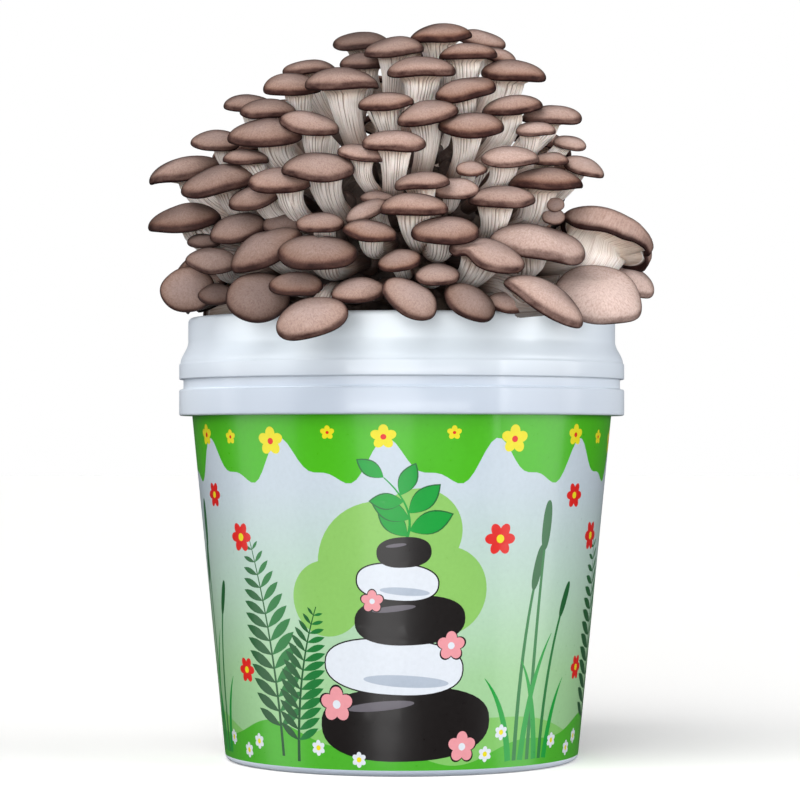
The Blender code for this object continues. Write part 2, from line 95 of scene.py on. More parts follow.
# A mushroom's proportions, as shares of the cap's half width
CAP_DEPTH = 0.84
CAP_RISE = 0.46
RIM_THICKNESS = 0.10
SHOULDER_RADIUS, SHOULDER_RISE = 0.68, 0.74
THROAT_RADIUS, THROAT_DROP = 0.56, 0.22
STEM_RADII = (0.36, 0.25)  # at its middle and at its foot
SLIMMER = 0.35  # of throat and stem with the sine of the lean, where a cap faces out
STEM_OFFSET = 0.30
MORE_OFFSET = 0.65  # with the sine of the lean: the stem of a cap that faces out is near its edge
STEM_BEND = 0.32
STEM_STATIONS = (0.5, 1.0)
MUSHROOM_SIDES = 6
SMALL_CAP, SMALL_SIDES = 11.0 * MM, 5
KNUCKLE_RADIUS = 6.5 * MM

# Feet on the base, which are pushed apart in rounds, each by a part of what is missing
FEET_APART = 13.5 * MM
FEET_ROUNDS, FEET_PUSH = 160, 0.3
LOWEST_FOOT = -0.12  # upward part of its direction from the base's centre

# How far a cap is pushed back, a step at a time, until it is clear of those in front of it. A
# step forward and a sway of the stem are tried later than a step back of their size.
SLIDE_STEP = 1.5 * MM
FORWARD_COST = 1.6
SWAY_FOR_A_STEP = 3 * MM
SWAYS = (0.0, 9.0 * MM, -9.0 * MM, 18.0 * MM, -18.0 * MM)


def cost(move):
    step, sway = move
    return (step if step >= 0 else -FORWARD_COST * step) + abs(sway) / SWAY_FOR_A_STEP


MOVES = sorted(((step, sway) for step in range(-12, 30) for sway in SWAYS), key=cost)

FRONT, RIGHT, BACK, LEFT = 0.0, 90.0, 180.0, 270.0

# Each bunch shares one foot.
BUNCHES = {
    FRONT: {
        "top_1": ((19, 362, 32, 9, -5, 0), (40, 359, 25, 9, 12, 22)),
        "top_2": ((33, 353, 29, 8, -3, 0), (48, 351, 20, 8, 15, 20)),
        "top_3": ((-4, 355, 30, 10, -5, 0), (-20, 358, 29, 9, 0, 16)),
        "top_4": ((-19, 348, 25, 8, 0, 10), (-46, 345, 28, 7, 0, 24)),
        "top_5": ((10, 345, 35, 10, -2, 0), (-8, 328, 28, 9, -5, 0)),
        "top_6": ((32, 334, 31, 12, -12, 0), (56, 343, 33, 11, 4, 4)),
        "top_7": ((13, 322, 32, 12, -12, 0),),
        "left_1": ((-55, 336, 29, 12, 0, 0), (-77, 327, 25, 9, 0, 10), (-67, 324, 29, 10, 0, 0)),
        "left_2": ((-30, 339, 37, 11, 0, 0),),
        "left_3": ((-46, 317, 31, 12, 10, 0), (-68, 312, 38, 15, -3, 0)),
        "left_4": ((-93, 308, 25, 11, 0, 0), (-78, 300, 23, 8, 0, 4)),
        "left_5": ((-109, 294, 37, 12, -12, 6), (-92, 288, 38, 15, -12, 0)),
        "left_6": ((-61, 288, 32, 13, 0, 0), (-73, 280, 28, 13, -15, 4), (-60, 266, 20, 12, 0, 12)),
        "left_7": ((-42, 295, 37, 15, 0, 0),),
        "left_8": ((-109, 269, 37, 14, -8, 0), (-99, 258, 17, 8, 0, 8)),
        "left_9": ((-82, 264, 30, 15, -12, 0), (-95, 248, 26, 14, 5, 0), (-93, 231, 18, 12, 0, 4)),
        "left_10": ((-68, 254, 39, 18, -27, 0),),
        "left_11": ((-107, 233, 28, 25, 0, 0),),
        "left_12": ((-41, 267, 24, 11, 0, 0), (-42, 252, 40, 19, 0, 0)),
        "low_1": ((-72, 229, 33, 27, 0, 0),),
        "low_2": ((-53, 236, 27, 13, 0, 4), (-45, 219, 37, 22, -15, -12)),
        "low_3": ((-1, 248, 22, 12, -12, 4), (18, 241, 23, 12, 0, 2)),
        "low_4": ((-22, 233, 27, 14, -8, 0), (4, 229, 30, 19, 30, -2)),
        "low_5": ((43, 251, 39, 15, 15, -3), (34, 227, 28, 18, 30, -2)),
        "low_6": ((72, 229, 44, 16, 28, -2), (52, 227, 20, 11, 8, 4)),
        "middle_1": ((-4, 308, 32, 11, 0, 0), (-21, 302, 23, 9, 10, 0)),
        "middle_2": ((-12, 280, 18, 6, 0, 8), (-18, 273, 22, 10, -25, 4), (-16, 263, 27, 12, 8, 0)),
        "middle_3": ((10, 288, 28, 9, -5, 0), (27, 284, 23, 12, 0, 6), (35, 294, 16, 8, 0, 8)),
        "middle_4": ((6, 276, 34, 12, 0, 9), (22, 263, 34, 15, 0, -2)),
        "right_1": ((55, 326, 31, 10, -8, 0), (35, 316, 33, 13, 0, 0)),
        "right_2": ((75, 321, 30, 10, 0, 0), (67, 314, 20, 8, 0, 0), (84, 307, 17, 8, 8, 0)),
        "right_3": ((54, 300, 29, 11, 0, 0), (74, 299, 20, 7, 0, 14)),
        "right_4": ((91, 295, 22, 10, 20, 0), (73, 295, 34, 9, 0, 14), (72, 289, 38, 11, 0, 0)),
        "right_5": ((50, 280, 34, 11, 0, 8), (76, 270, 12, 9, 0, 12), (77, 276, 9, 8, 0, 18)),
        "right_6": ((68, 257, 49, 19, 8, 6),),
        "right_7": ((103, 260, 50, -28, 24, 6),),
        "right_8": ((98, 230, 46, 32, 10, 0), (112, 239, 32, 15, 25, 12)),
    },
    RIGHT: {
        "side_1": ((-14, 236, 40, 24, -6, 16), (-4, 253, 40, 18, 0, 18), (-14, 271, 40, 16, 0, 16)),
        "side_2": ((31, 234, 40, 24, 8, 14), (38, 251, 40, 17, 6, 10), (28, 270, 40, 16, 4, 16)),
        "side_3": ((4, 292, 40, 15, 0, 32), (-4, 314, 38, 14, 0, 12), (36, 311, 38, 14, 4, 10)),
    },
    LEFT: {
        "side_4": ((30, 236, 38, 23, 8, 20), (24, 253, 42, 17, 0, 22), (-14, 273, 40, 16, 0, 16)),
        "side_5": (
            (-13, 238, 40, 22, -6, 26),
            (-22, 253, 42, 18, -5, 14),
            (-38, 291, 38, 15, -6, 6),
        ),
        "side_6": ((-4, 312, 38, 13, 0, 4), (-42, 313, 36, 13, 0, 6), (-8, 331, 34, 12, 0, 4)),
    },
    BACK: {
        "back_1": ((-92, 229, 34, 26, -6, 0), (-98, 252, 36, 15, -8, 0), (-80, 271, 34, 13, -6, 4)),
        "back_2": ((-56, 227, 38, 24, -10, 0), (-62, 249, 38, 18, -6, 0), (-46, 270, 36, 14, 0, 2)),
        "back_3": ((-17, 229, 38, 23, 6, 0), (-22, 252, 40, 19, -4, 0), (-8, 272, 36, 14, 0, 2)),
        "back_4": ((23, 226, 38, 26, 12, -2), (19, 250, 38, 17, 0, 0), (30, 271, 34, 13, 5, 2)),
        "back_5": ((61, 229, 36, 22, 8, 0), (60, 251, 38, 18, 5, 0), (66, 271, 36, 15, 6, 2)),
        "back_6": ((94, 229, 34, 25, 10, 0), (98, 252, 36, 16, 8, 2)),
        "back_7": ((-66, 291, 36, 13, -5, 0), (-28, 291, 36, 13, 0, 0), (-47, 311, 34, 12, -5, 0)),
        "back_8": ((10, 290, 36, 13, 0, 0), (47, 292, 36, 12, 5, 0), (28, 311, 34, 12, 0, 0)),
        "back_9": ((82, 291, 32, 12, 8, 6), (64, 312, 34, 12, 6, 0), (42, 331, 32, 11, 5, 0)),
        "back_10": ((-10, 311, 36, 12, 0, 0), (-30, 331, 32, 11, -5, 0), (6, 332, 34, 11, 0, 0)),
        "back_11": ((-16, 349, 30, 10, 0, 2), (16, 346, 28, 10, 4, 0), (2, 359, 28, 9, 0, 4)),
    },
}

# Seen height over seen width of a cap, and how far its top leans towards the viewer in degrees
LEAN_BY_RATIO = ((0.25, 0.0), (0.34, 10.0), (0.44, 20.0), (0.60, 35.0), (0.74, 50.0), (0.90, 72.0))


# ------------------------------------------------------------------------------------------
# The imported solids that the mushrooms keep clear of, as the part's source makes them


def turned(outline, sides):
    """A closed bmesh turned about Z from a closed outline of (radius, height) points. An outline
    that starts and ends on the axis closes there."""
    bm = bmesh.new()
    rings = []
    for radius, height in outline:
        if radius == 0.0:
            rings.append([bm.verts.new((0.0, 0.0, height))] * sides)
            continue
        angles = [2 * math.pi * i / sides for i in range(sides)]
        ring = [(radius * math.cos(a), radius * math.sin(a), height) for a in angles]
        rings.append([bm.verts.new(point) for point in ring])
    pairs = list(zip(rings, rings[1:]))
    if outline[0][0] != 0.0:
        pairs.append((rings[-1], rings[0]))
    for lower, upper in pairs:
        for i in range(sides):
            j = (i + 1) % sides
            corners = list(dict.fromkeys((lower[i], lower[j], upper[j], upper[i])))
            if len(corners) > 2:
                bm.faces.new(corners)
    return bm


def collar_outline():
    """Skirt, hollow shoulder, lip and an inner leg: a channel that straddles the pail's rim."""
    step = (SKIRT_RADIUS - LIP_RADIUS) / 3
    rise = (SHOULDER_TOP - SKIRT_TOP) / 3
    inner = LIP_RADIUS - COLLAR_WALL
    leg = WALL_TOP_RADIUS - WALL - 2 * GAP
    lip = (LIP_RADIUS - LIP_ROUND, LIP_TOP - LIP_ROUND)
    return [
        (SKIRT_RADIUS, SKIRT_BOTTOM),
        (SKIRT_RADIUS, SKIRT_TOP - rise),
        (SKIRT_RADIUS - step * 0.5, SKIRT_TOP),
        (SKIRT_RADIUS - step * 2, SKIRT_TOP + rise),
        (LIP_RADIUS, SHOULDER_TOP),
        *arc(lip, LIP_ROUND, 0, 90, 2),
        (leg - COLLAR_WALL, LIP_TOP),
        (leg - COLLAR_WALL, INNER_LEG_BOTTOM),
        (leg, INNER_LEG_BOTTOM),
        (leg, RIM_TOP + GAP * 2),
        (inner, RIM_TOP + GAP * 2),
        (inner, SHOULDER_TOP),
        (SKIRT_RADIUS - COLLAR_WALL, SKIRT_TOP),
        (SKIRT_RADIUS - COLLAR_WALL, SKIRT_BOTTOM),
    ]


def medium_outline():
    inside = FOOT_RADIUS - WALL - GAP
    shoulder = WALL_TOP_RADIUS - WALL - 2 * GAP
    return [
        (0.0, WALL + GAP),
        (inside - GAP, WALL + GAP),
        (shoulder, BAND_BOTTOM),
        (shoulder, MEDIUM_SHOULDER),
        (MEDIUM_TOP_RADIUS, MEDIUM_SHOULDER + 4 * MM),
        (MEDIUM_TOP_RADIUS, MEDIUM_TOP),
        (0.0, MEDIUM_TOP),
    ]


def base_outline():
    """The ellipsoid's outline above its flat foot, as if it were round."""
    floor = MEDIUM_TOP + GAP
    low = math.asin((floor - BASE_CENTRE.z) / BASE_RADII.z)
    outline = [(0.0, floor)]
    for i in range(BASE_STEPS):
        angle = low + (math.pi / 2 - low) * i / BASE_STEPS
        outline.append(
            (BASE_RADII.x * math.cos(angle), BASE_CENTRE.z + BASE_RADII.z * math.sin(angle))
        )
    return [*outline, (0.0, BASE_CENTRE.z + BASE_RADII.z)]


def base_bmesh():
    bm = turned(base_outline(), BASE_CORNERS)
    flatten = Matrix.Diagonal((1.0, BASE_RADII.y / BASE_RADII.x, 1.0, 1.0))
    bmesh.ops.transform(bm, matrix=flatten, verts=bm.verts)
    bmesh.ops.recalc_face_normals(bm, faces=bm.faces)
    return bm


# ------------------------------------------------------------------------------------------
# Placing the mushrooms


def lean_for(ratio):
    """The cap's lean for a seen height over width, read between the rows of LEAN_BY_RATIO."""
    for (low, lean), (high, more) in zip(LEAN_BY_RATIO, LEAN_BY_RATIO[1:]):
        if ratio <= high:
            share = max(0.0, (ratio - low) / (high - low))
            return lean + (more - lean) * share
    return LEAN_BY_RATIO[-1][1]


def middle_above_rim(lean):
    """How far the middle of a leaning cap's seen height is above its rim's centre, for a half
    width of 1: the dome's edge is seen above that centre, and the near rim below it."""
    lean = math.radians(lean)
    above = math.hypot(CAP_RISE * math.cos(lean), CAP_DEPTH * math.sin(lean))
    below = CAP_DEPTH * abs(math.sin(lean)) + RIM_THICKNESS
    return (above - below) / 2


class Mushroom:
    """One mushroom of the table, placed at a depth behind its viewpoint."""

    def __init__(self, side, row):
        across, height, width, tall, roll, behind = row
        self.turn = Matrix.Rotation(math.radians(side), 3, "Z")
        self.seen = Vector((across * MM, 0.0, height * MM))
        self.seen_half = width * MM / 2
        up_view = math.degrees(math.atan2(self.seen.z - VIEW_HEIGHT, VIEW_DISTANCE))
        lean = math.copysign(lean_for(abs(tall) / width), tall)
        tip = Matrix.Rotation(math.radians(lean + up_view), 3, "X")
        rolled = Matrix.Rotation(math.radians(roll), 3, "Y")
        self.axes = self.turn @ rolled @ tip
        self.seen -= rolled @ Vector((0.0, 0.0, self.seen_half * middle_above_rim(lean)))
        self.sine_of_lean = math.sin(math.radians(lean))
        self.slim = 1.0 - SLIMMER * max(0.0, self.sine_of_lean)
        self.start = self.dome_depth() + behind * MM
        self.place(self.start, 0.0)

    def dome_depth(self):
        """Depth of the dome's front along the line of sight, or of its edge beside it."""
        rise = max(0.0, self.seen.z - DOME_CENTRE_Z) / DOME_RADII.z
        left = max(0.0, 1.0 - rise**2)
        across = (self.seen.x / DOME_RADII.x) ** 2 / max(left, 0.01)
        return -DOME_RADII.y * left**DOME_SLOPE * math.sqrt(max(0.0, 1.0 - across))

    def place(self, depth, sway):
        """Puts the cap at this depth on its line of sight, where it is seen at the same size, and
        bends its stem sideways by the sway."""
        self.sway = sway
        nearness = (VIEW_DISTANCE + depth) / VIEW_DISTANCE
        eye = Vector((0.0, -VIEW_DISTANCE, VIEW_HEIGHT))
        self.centre = self.turn @ (eye + (self.seen - eye) * nearness)
        self.half = self.seen_half * nearness

    def outward(self):
        return (self.centre - BASE_CENTRE).normalized()

    def throat(self):
        """Where the gills run into the stem, a little towards the cluster's middle."""
        up = self.axes.col[2]
        inward = -self.outward()
        along = inward - up * inward.dot(up)
        drop = up * (self.half * THROAT_DROP)
        offset = STEM_OFFSET + MORE_OFFSET * max(0.0, self.sine_of_lean)
        return self.centre + along * (self.half * offset) - drop

    def spine(self, foot, share):
        """A point of the stem's curve, and its direction there, from the throat to the foot."""
        start = self.throat()
        up = self.axes.col[2]
        reach = (foot.end - start).length
        first = start - up * (reach * STEM_BEND)
        last = foot.end + foot.normal * (reach * STEM_BEND)
        aside = Vector((0.0, 0.0, 1.0)).cross(self.outward()).normalized() * self.sway
        first += aside
        last += aside
        lowest = LIP_TOP + self.half * STEM_RADII[0] * self.slim * 2.0 + 4 * GAP
        first.z = max(first.z, lowest)
        last.z = max(last.z, lowest)
        rest = 1.0 - share
        point = start * rest**3 + first * (3 * rest**2 * share)
        point += last * (3 * rest * share**2) + foot.end * share**3
        heading = (first - start) * rest**2 + (last - first) * (2 * rest * share)
        heading += (foot.end - last) * share**2
        return point, heading.normalized()

    def rings(self, foot):
        """The mushroom's outline rings from crown to foot, and its two end points."""
        sides = SMALL_SIDES if self.half < SMALL_CAP else MUSHROOM_SIDES
        across, back, up = (axis.copy() for axis in self.axes.col)
        rise = self.half * CAP_RISE
        swell = 1.0 / math.cos(math.pi / sides) ** 0.5

        def ring(centre, wide, deep, first, second):
            wide, deep = wide * swell, deep * swell
            angles = [2 * math.pi * (i + 0.5) / sides for i in range(sides)]
            reaches = [(wide * math.cos(a), deep * math.sin(a)) for a in angles]
            return [centre + first * x + second * y for x, y in reaches]

        deep = self.half * CAP_DEPTH
        shoulder = self.centre + up * (rise * SHOULDER_RISE)
        wide = self.half * SHOULDER_RADIUS
        found = [
            ring(shoulder, wide, deep * SHOULDER_RADIUS, across, back),
            ring(self.centre, self.half, deep, across, back),
        ]
        throat_half = self.half * THROAT_RADIUS * self.slim
        found.append(ring(self.throat(), throat_half, throat_half * CAP_DEPTH, across, back))
        heading = -up
        for share, radius in zip(STEM_STATIONS, STEM_RADII):
            stem = self.half * radius * self.slim
            point, new_heading = self.spine(foot, share)
            if share == 1.0 and not foot.knuckle:
                new_heading = -foot.normal
            turn = heading.rotation_difference(new_heading)
            across, back, heading = turn @ across, turn @ back, new_heading
            found.append(ring(point, stem, stem, across, back))
        return self.centre + up * rise, found, foot.end

    def shell(self, foot, whole=True):
        """Points and faces of the closed shape, or of only its cap and throat."""
        crown, rings, end = self.rings(foot)
        if not whole:
            rings = rings[:3]
            end = self.throat()
        sides = len(rings[0])
        points = [crown, *(point for ring in rings for point in ring), end]
        last = len(points) - 1
        faces = []
        for i in range(sides):
            j = (i + 1) % sides
            faces.append((0, 1 + j, 1 + i))
            faces.append((last, last - sides + i, last - sides + j))
            for k in range(len(rings) - 1):
                low, high = 1 + k * sides, 1 + (k + 1) * sides
                faces.append((low + i, low + j, high + j))
                faces.append((low + i, high + j, high + i))
        return points, faces


class Foot:
    """Where a bunch stands on the cluster's base, and which way it grows from there. The stems of
    a bunch of several end in the middle of one knuckle."""

    def __init__(self, base, direction, several):
        self.knuckle = KNUCKLE_RADIUS if several else 0.0
        self.aim(base, direction)

    def aim(self, base, direction):
        outside = BASE_CENTRE + direction * (3 * max(BASE_RADII))
        self.stand, self.normal, _, _ = base.ray_cast(outside, -direction)
        self.end = self.stand + self.normal * (GAP + self.knuckle)


def lowest_allowed(direction):
    """A foot keeps above the base's flat underside."""
    direction = direction.copy()
    direction.z = max(direction.z, LOWEST_FOOT)
    return direction.normalized()


def spread_feet(base, feet):
    """Moves feet that stand too close together apart, along the base."""
    for _ in range(FEET_ROUNDS):
        for i, one in enumerate(feet):
            for other in feet[i + 1 :]:
                between = other.stand - one.stand
                short = FEET_APART - between.length
                if short <= 0.0:
                    continue
                push = between.normalized() * (short * FEET_PUSH)
                for foot, shift in ((one, -push), (other, push)):
                    moved = foot.stand + shift - BASE_CENTRE
                    foot.aim(base, lowest_allowed(moved.normalized()))


def grow_cluster(base, obstacles):
    """Places every mushroom of the table clear of the others, and returns the bunches with their
    feet. The foremost ones are placed first, and each next one is pushed back until it is clear."""
    bunches = {}
    table = [(side, *bunch) for side, part in BUNCHES.items() for bunch in part.items()]
    for side, name, rows in table:
        members = [Mushroom(side, row) for row in rows]
        middle = sum((member.outward() for member in members), Vector()) / len(members)
        foot = Foot(base, lowest_allowed(middle.normalized()), len(members) > 1)
        bunches[name] = (members, foot)
    spread_feet(base, [foot for _, foot in bunches.values()])
    waiting = [(member, name) for name, (members, _) in bunches.items() for member in members]
    waiting.sort(key=lambda pair: pair[0].start)
    placed = []
    for member, name in waiting:
        foot = bunches[name][1]
        for step, sway in MOVES:
            member.place(member.start + step * SLIDE_STEP, sway)
            whole = BVHTree.FromPolygons(*member.shell(foot))
            cap = BVHTree.FromPolygons(*member.shell(foot, whole=False))
            if is_clear(name, whole, cap, placed, obstacles):
                break
        else:
            raise ValueError(f"{name} has a mushroom with no free place")
        placed.append((name, whole, cap))
    return bunches


def is_clear(name, whole, cap, placed, obstacles):
    """Whether a mushroom meets nothing. Stems of one bunch may meet, but not its caps."""
    for other_name, other_whole, other_cap in placed:
        if cap.overlap(other_cap) if other_name == name else whole.overlap(other_whole):
            return False
    return not any(whole.overlap(obstacle) for obstacle in obstacles)


# ------------------------------------------------------------------------------------------
# Meshes from arrays


def mesh_object(name, points, faces, materials, slots=None):
    """One smooth object from an array of points and a list of arrays of equal-sided faces. Each
    of these has an array of its faces' material slots, or all faces take the first material."""
    if slots is None:
        slots = [np.zeros(len(part)) for part in faces]
    mesh = bpy.data.meshes.new(name)
    mesh.vertices.add(len(points))
    mesh.vertices.foreach_set("co", np.asarray(points, np.float32).ravel())
    corners = np.concatenate([np.asarray(part, np.int32).ravel() for part in faces])
    sizes = np.concatenate([np.full(len(part), part.shape[1], np.int32) for part in faces])
    starts = np.concatenate([[0], np.cumsum(sizes)[:-1]]).astype(np.int32)
    mesh.loops.add(len(corners))
    mesh.loops.foreach_set("vertex_index", corners)
    mesh.polygons.add(len(sizes))
    mesh.polygons.foreach_set("loop_start", starts)
    mesh.polygons.foreach_set("material_index", np.concatenate(slots).astype(np.int32))
    mesh.update(calc_edges=True)
    for material in materials:
        mesh.materials.append(material)
    mesh.shade_smooth()
    piece = bpy.data.objects.new(name, mesh)
    bpy.context.scene.collection.objects.link(piece)
    return piece


def add_attribute(piece, name, values):
    """Stores an array of numbers or of vectors on the points."""
    kind, field = ("FLOAT_VECTOR", "vector") if values.ndim == 2 else ("FLOAT", "value")
    attribute = piece.data.attributes.new(name, kind, "POINT")
    attribute.data.foreach_set(field, values.astype(np.float32).ravel())


def closed_faces(rows, columns):
    """Faces of rings that close on themselves: the quads between them, and the triangles from the
    first and the last ring to a point each. Those two points follow the rings' own."""
    around = np.arange(columns)
    following = (around + 1) % columns
    start = np.arange(rows - 1)[:, None] * columns
    low, after = start + around, start + following
    quads = np.stack([low, after, after + columns, low + columns], axis=-1).reshape(-1, 4)
    far = (rows - 1) * columns
    first = np.stack([np.full(columns, rows * columns), following, around], axis=-1)
    last = np.stack([np.full(columns, rows * columns + 1), far + around, far + following], axis=-1)
    return quads, first, last


def weld(piece, sharp=None):
    """Joins equal points and turns the faces outwards, with edges past an angle kept sharp."""
    bm = bmesh.new()
    bm.from_mesh(piece.data)
    bmesh.ops.remove_doubles(bm, verts=bm.verts, dist=0.004 * MM)
    bmesh.ops.recalc_face_normals(bm, faces=bm.faces)
    bm.to_mesh(piece.data)
    bm.free()
    piece.data.shade_smooth()
    if sharp is not None:
        piece.data.set_sharp_from_angle(angle=math.radians(sharp))


def finish_piece(piece, node):
    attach(piece, "root")
    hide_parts(node)


# ------------------------------------------------------------------------------------------
# Materials

INK_STRENGTH = 0.74
CLUSTER_MIDDLE = (0.0, 0.0, 0.21)
CLUSTER_SHARE = (8.0, 8.0, 6.4)  # of the way from that middle to the outer surface, for a metre


class Nodes:
    """Short names for building a material's nodes. A socket gets a number or a colour of its own,
    or is linked to another node's socket."""

    def __init__(self, name):
        self.material = bpy.data.materials.new(name)
        self.material.use_nodes = True
        self.tree = self.material.node_tree
        self.shader = self.tree.nodes["Principled BSDF"]

    def fill(self, socket, value):
        if isinstance(value, bpy.types.NodeSocket):
            self.tree.links.new(value, socket)
        else:
            socket.default_value = (*value, 1.0) if socket.type == "RGBA" else value

    def add(self, kind, sockets=(), **settings):
        node = self.tree.nodes.new(kind)
        for name, value in settings.items():
            setattr(node, name, value)
        for key, value in dict(sockets).items():
            self.fill(node.inputs[key], value)
        return node

    def surface(self, **values):
        for name, value in values.items():
            self.fill(self.shader.inputs[name.replace("_", " ")], value)

    def place(self):
        return self.add("ShaderNodeTexCoord").outputs["Object"]

    def height(self):
        return self.add("ShaderNodeSeparateXYZ", {0: self.place()}).outputs["Z"]

    def facing(self):
        return self.add("ShaderNodeLayerWeight").outputs["Facing"]

    def attribute(self, name, output="Fac"):
        return self.add("ShaderNodeAttribute", attribute_name=name).outputs[output]

    def noise(self, vector, scale, detail=3.0, roughness=0.55):
        sockets = {"Vector": vector, "Scale": scale, "Detail": detail, "Roughness": roughness}
        return self.add("ShaderNodeTexNoise", sockets).outputs["Fac"]

    def vector(self, operation, one, other):
        return self.add("ShaderNodeVectorMath", {0: one, 1: other}, operation=operation).outputs[0]

    def skin(self, factors):
        """The place on a mushroom's skin, stretched, and moved to a spot of its own."""
        stretched = self.vector("MULTIPLY", self.attribute("skin", "Vector"), factors)
        return self.vector("ADD", stretched, self.attribute("seed", "Vector"))

    def plus(self, value, factor, other):
        """A value times a factor, and another value."""
        sockets = {0: value, 1: factor, 2: other}
        return self.add("ShaderNodeMath", sockets, operation="MULTIPLY_ADD").outputs[0]

    def ramp(self, value, stops):
        node = self.add("ShaderNodeValToRGB", {"Fac": value})
        elements = node.color_ramp.elements
        while len(elements) < len(stops):
            elements.new(0.5)
        for element, (place, colour) in zip(elements, stops):
            element.position = place
            element.color = (*colour, 1.0)
        return node.outputs["Color"]

    def mix(self, factor, one, two, blend="MIX"):
        sockets = {0: factor, 6: one, 7: two}
        return self.add("ShaderNodeMix", sockets, data_type="RGBA", blend_type=blend).outputs[2]

    def spread(self, value, low, high, to_low=0.0, to_high=1.0):
        sockets = {"Value": value, "From Min": low, "From Max": high}
        sockets |= {"To Min": to_low, "To Max": to_high}
        return self.add("ShaderNodeMapRange", sockets).outputs["Result"]

    def bump(self, height, strength, distance):
        sockets = {"Strength": strength, "Distance": distance, "Height": height}
        self.surface(Normal=self.add("ShaderNodeBump", sockets).outputs["Normal"])

    def depth(self):
        """How far a point lies inside the cluster: 0 at its centre, and 1 at its outer surface."""
        away = self.vector("SUBTRACT", self.place(), CLUSTER_MIDDLE)
        share = self.vector("MULTIPLY", away, CLUSTER_SHARE)
        return self.add("ShaderNodeVectorMath", {0: share}, operation="LENGTH").outputs["Value"]


def ink(code):
    """A linear colour from a hexadecimal one, toned down by what the studio's lights add."""
    parts = [int(code[i : i + 2], 16) / 255 for i in (0, 2, 4)]
    linear = [p / 12.92 if p <= 0.04045 else ((p + 0.055) / 1.055) ** 2.4 for p in parts]
    return tuple(INK_STRENGTH * p for p in linear)


def plastic_material():
    """White plastic with painted light: lighter up the lid towards its lip, and where it turns from
    the camera.
    """
    nodes = Nodes("moulded_white_plastic")
    broad = nodes.noise(nodes.place(), 9.0, 2.0)
    fine = nodes.noise(nodes.place(), 900.0, 2.0)
    # Painted light: lighter from the band up to the lip, against the shade that the caps cast on
    # the lid.
    base = nodes.ramp(
        nodes.spread(nodes.height(), 0.165, 0.220),
        (
            (0.35, (0.400, 0.450, 0.522)),
            (0.46, (0.480, 0.525, 0.580)),
            (0.62, (0.560, 0.615, 0.665)),
            (0.80, (0.660, 0.720, 0.765)),
            (0.95, (0.800, 0.860, 0.900)),
        ),
    )
    patchy = nodes.mix(broad, base, (0.92, 0.93, 0.95), "MULTIPLY")
    # Painted light: lighter where the surface turns away from the camera, in place of light from
    # the sides.
    edge = nodes.spread(nodes.facing(), 0.30, 0.80)
    nodes.surface(
        Base_Color=nodes.mix(edge, patchy, (0.74, 0.81, 0.90)),
        Roughness=nodes.spread(fine, 0.2, 0.8, 0.36, 0.46),
        Specular_IOR_Level=0.40,
        Coat_Weight=0.22,
        Coat_Roughness=0.12,
    )
    nodes.bump(broad, 0.12, 0.002)
    return nodes.material


def print_material(name, colour, stops=None):
    """Printed film: a slightly uneven colour, or several from the pail's foot to its band."""
    nodes = Nodes(f"print_{name}")
    grain = nodes.noise(nodes.place(), 500.0, 3.0)
    broad = nodes.noise(nodes.place(), 14.0, 2.0)
    base = nodes.ramp(nodes.spread(nodes.height(), 0.0, 0.17), stops) if stops else colour
    even = nodes.mix(nodes.spread(grain, 0.3, 0.7, 1.0, 0.0), base, (0.95, 0.95, 0.95), "MULTIPLY")
    patches = nodes.spread(broad, 0.3, 0.7, 1.0, 0.0)
    patchy = nodes.mix(patches, even, (0.94, 0.95, 0.95), "MULTIPLY")
    nodes.surface(
        Base_Color=patchy,
        Roughness=nodes.spread(grain, 0.2, 0.8, 0.26, 0.36),
        Specular_IOR_Level=0.20,
        Coat_Weight=0.12,
        Coat_Roughness=0.12,
    )
    nodes.bump(broad, 0.10, 0.002)
    return nodes.material


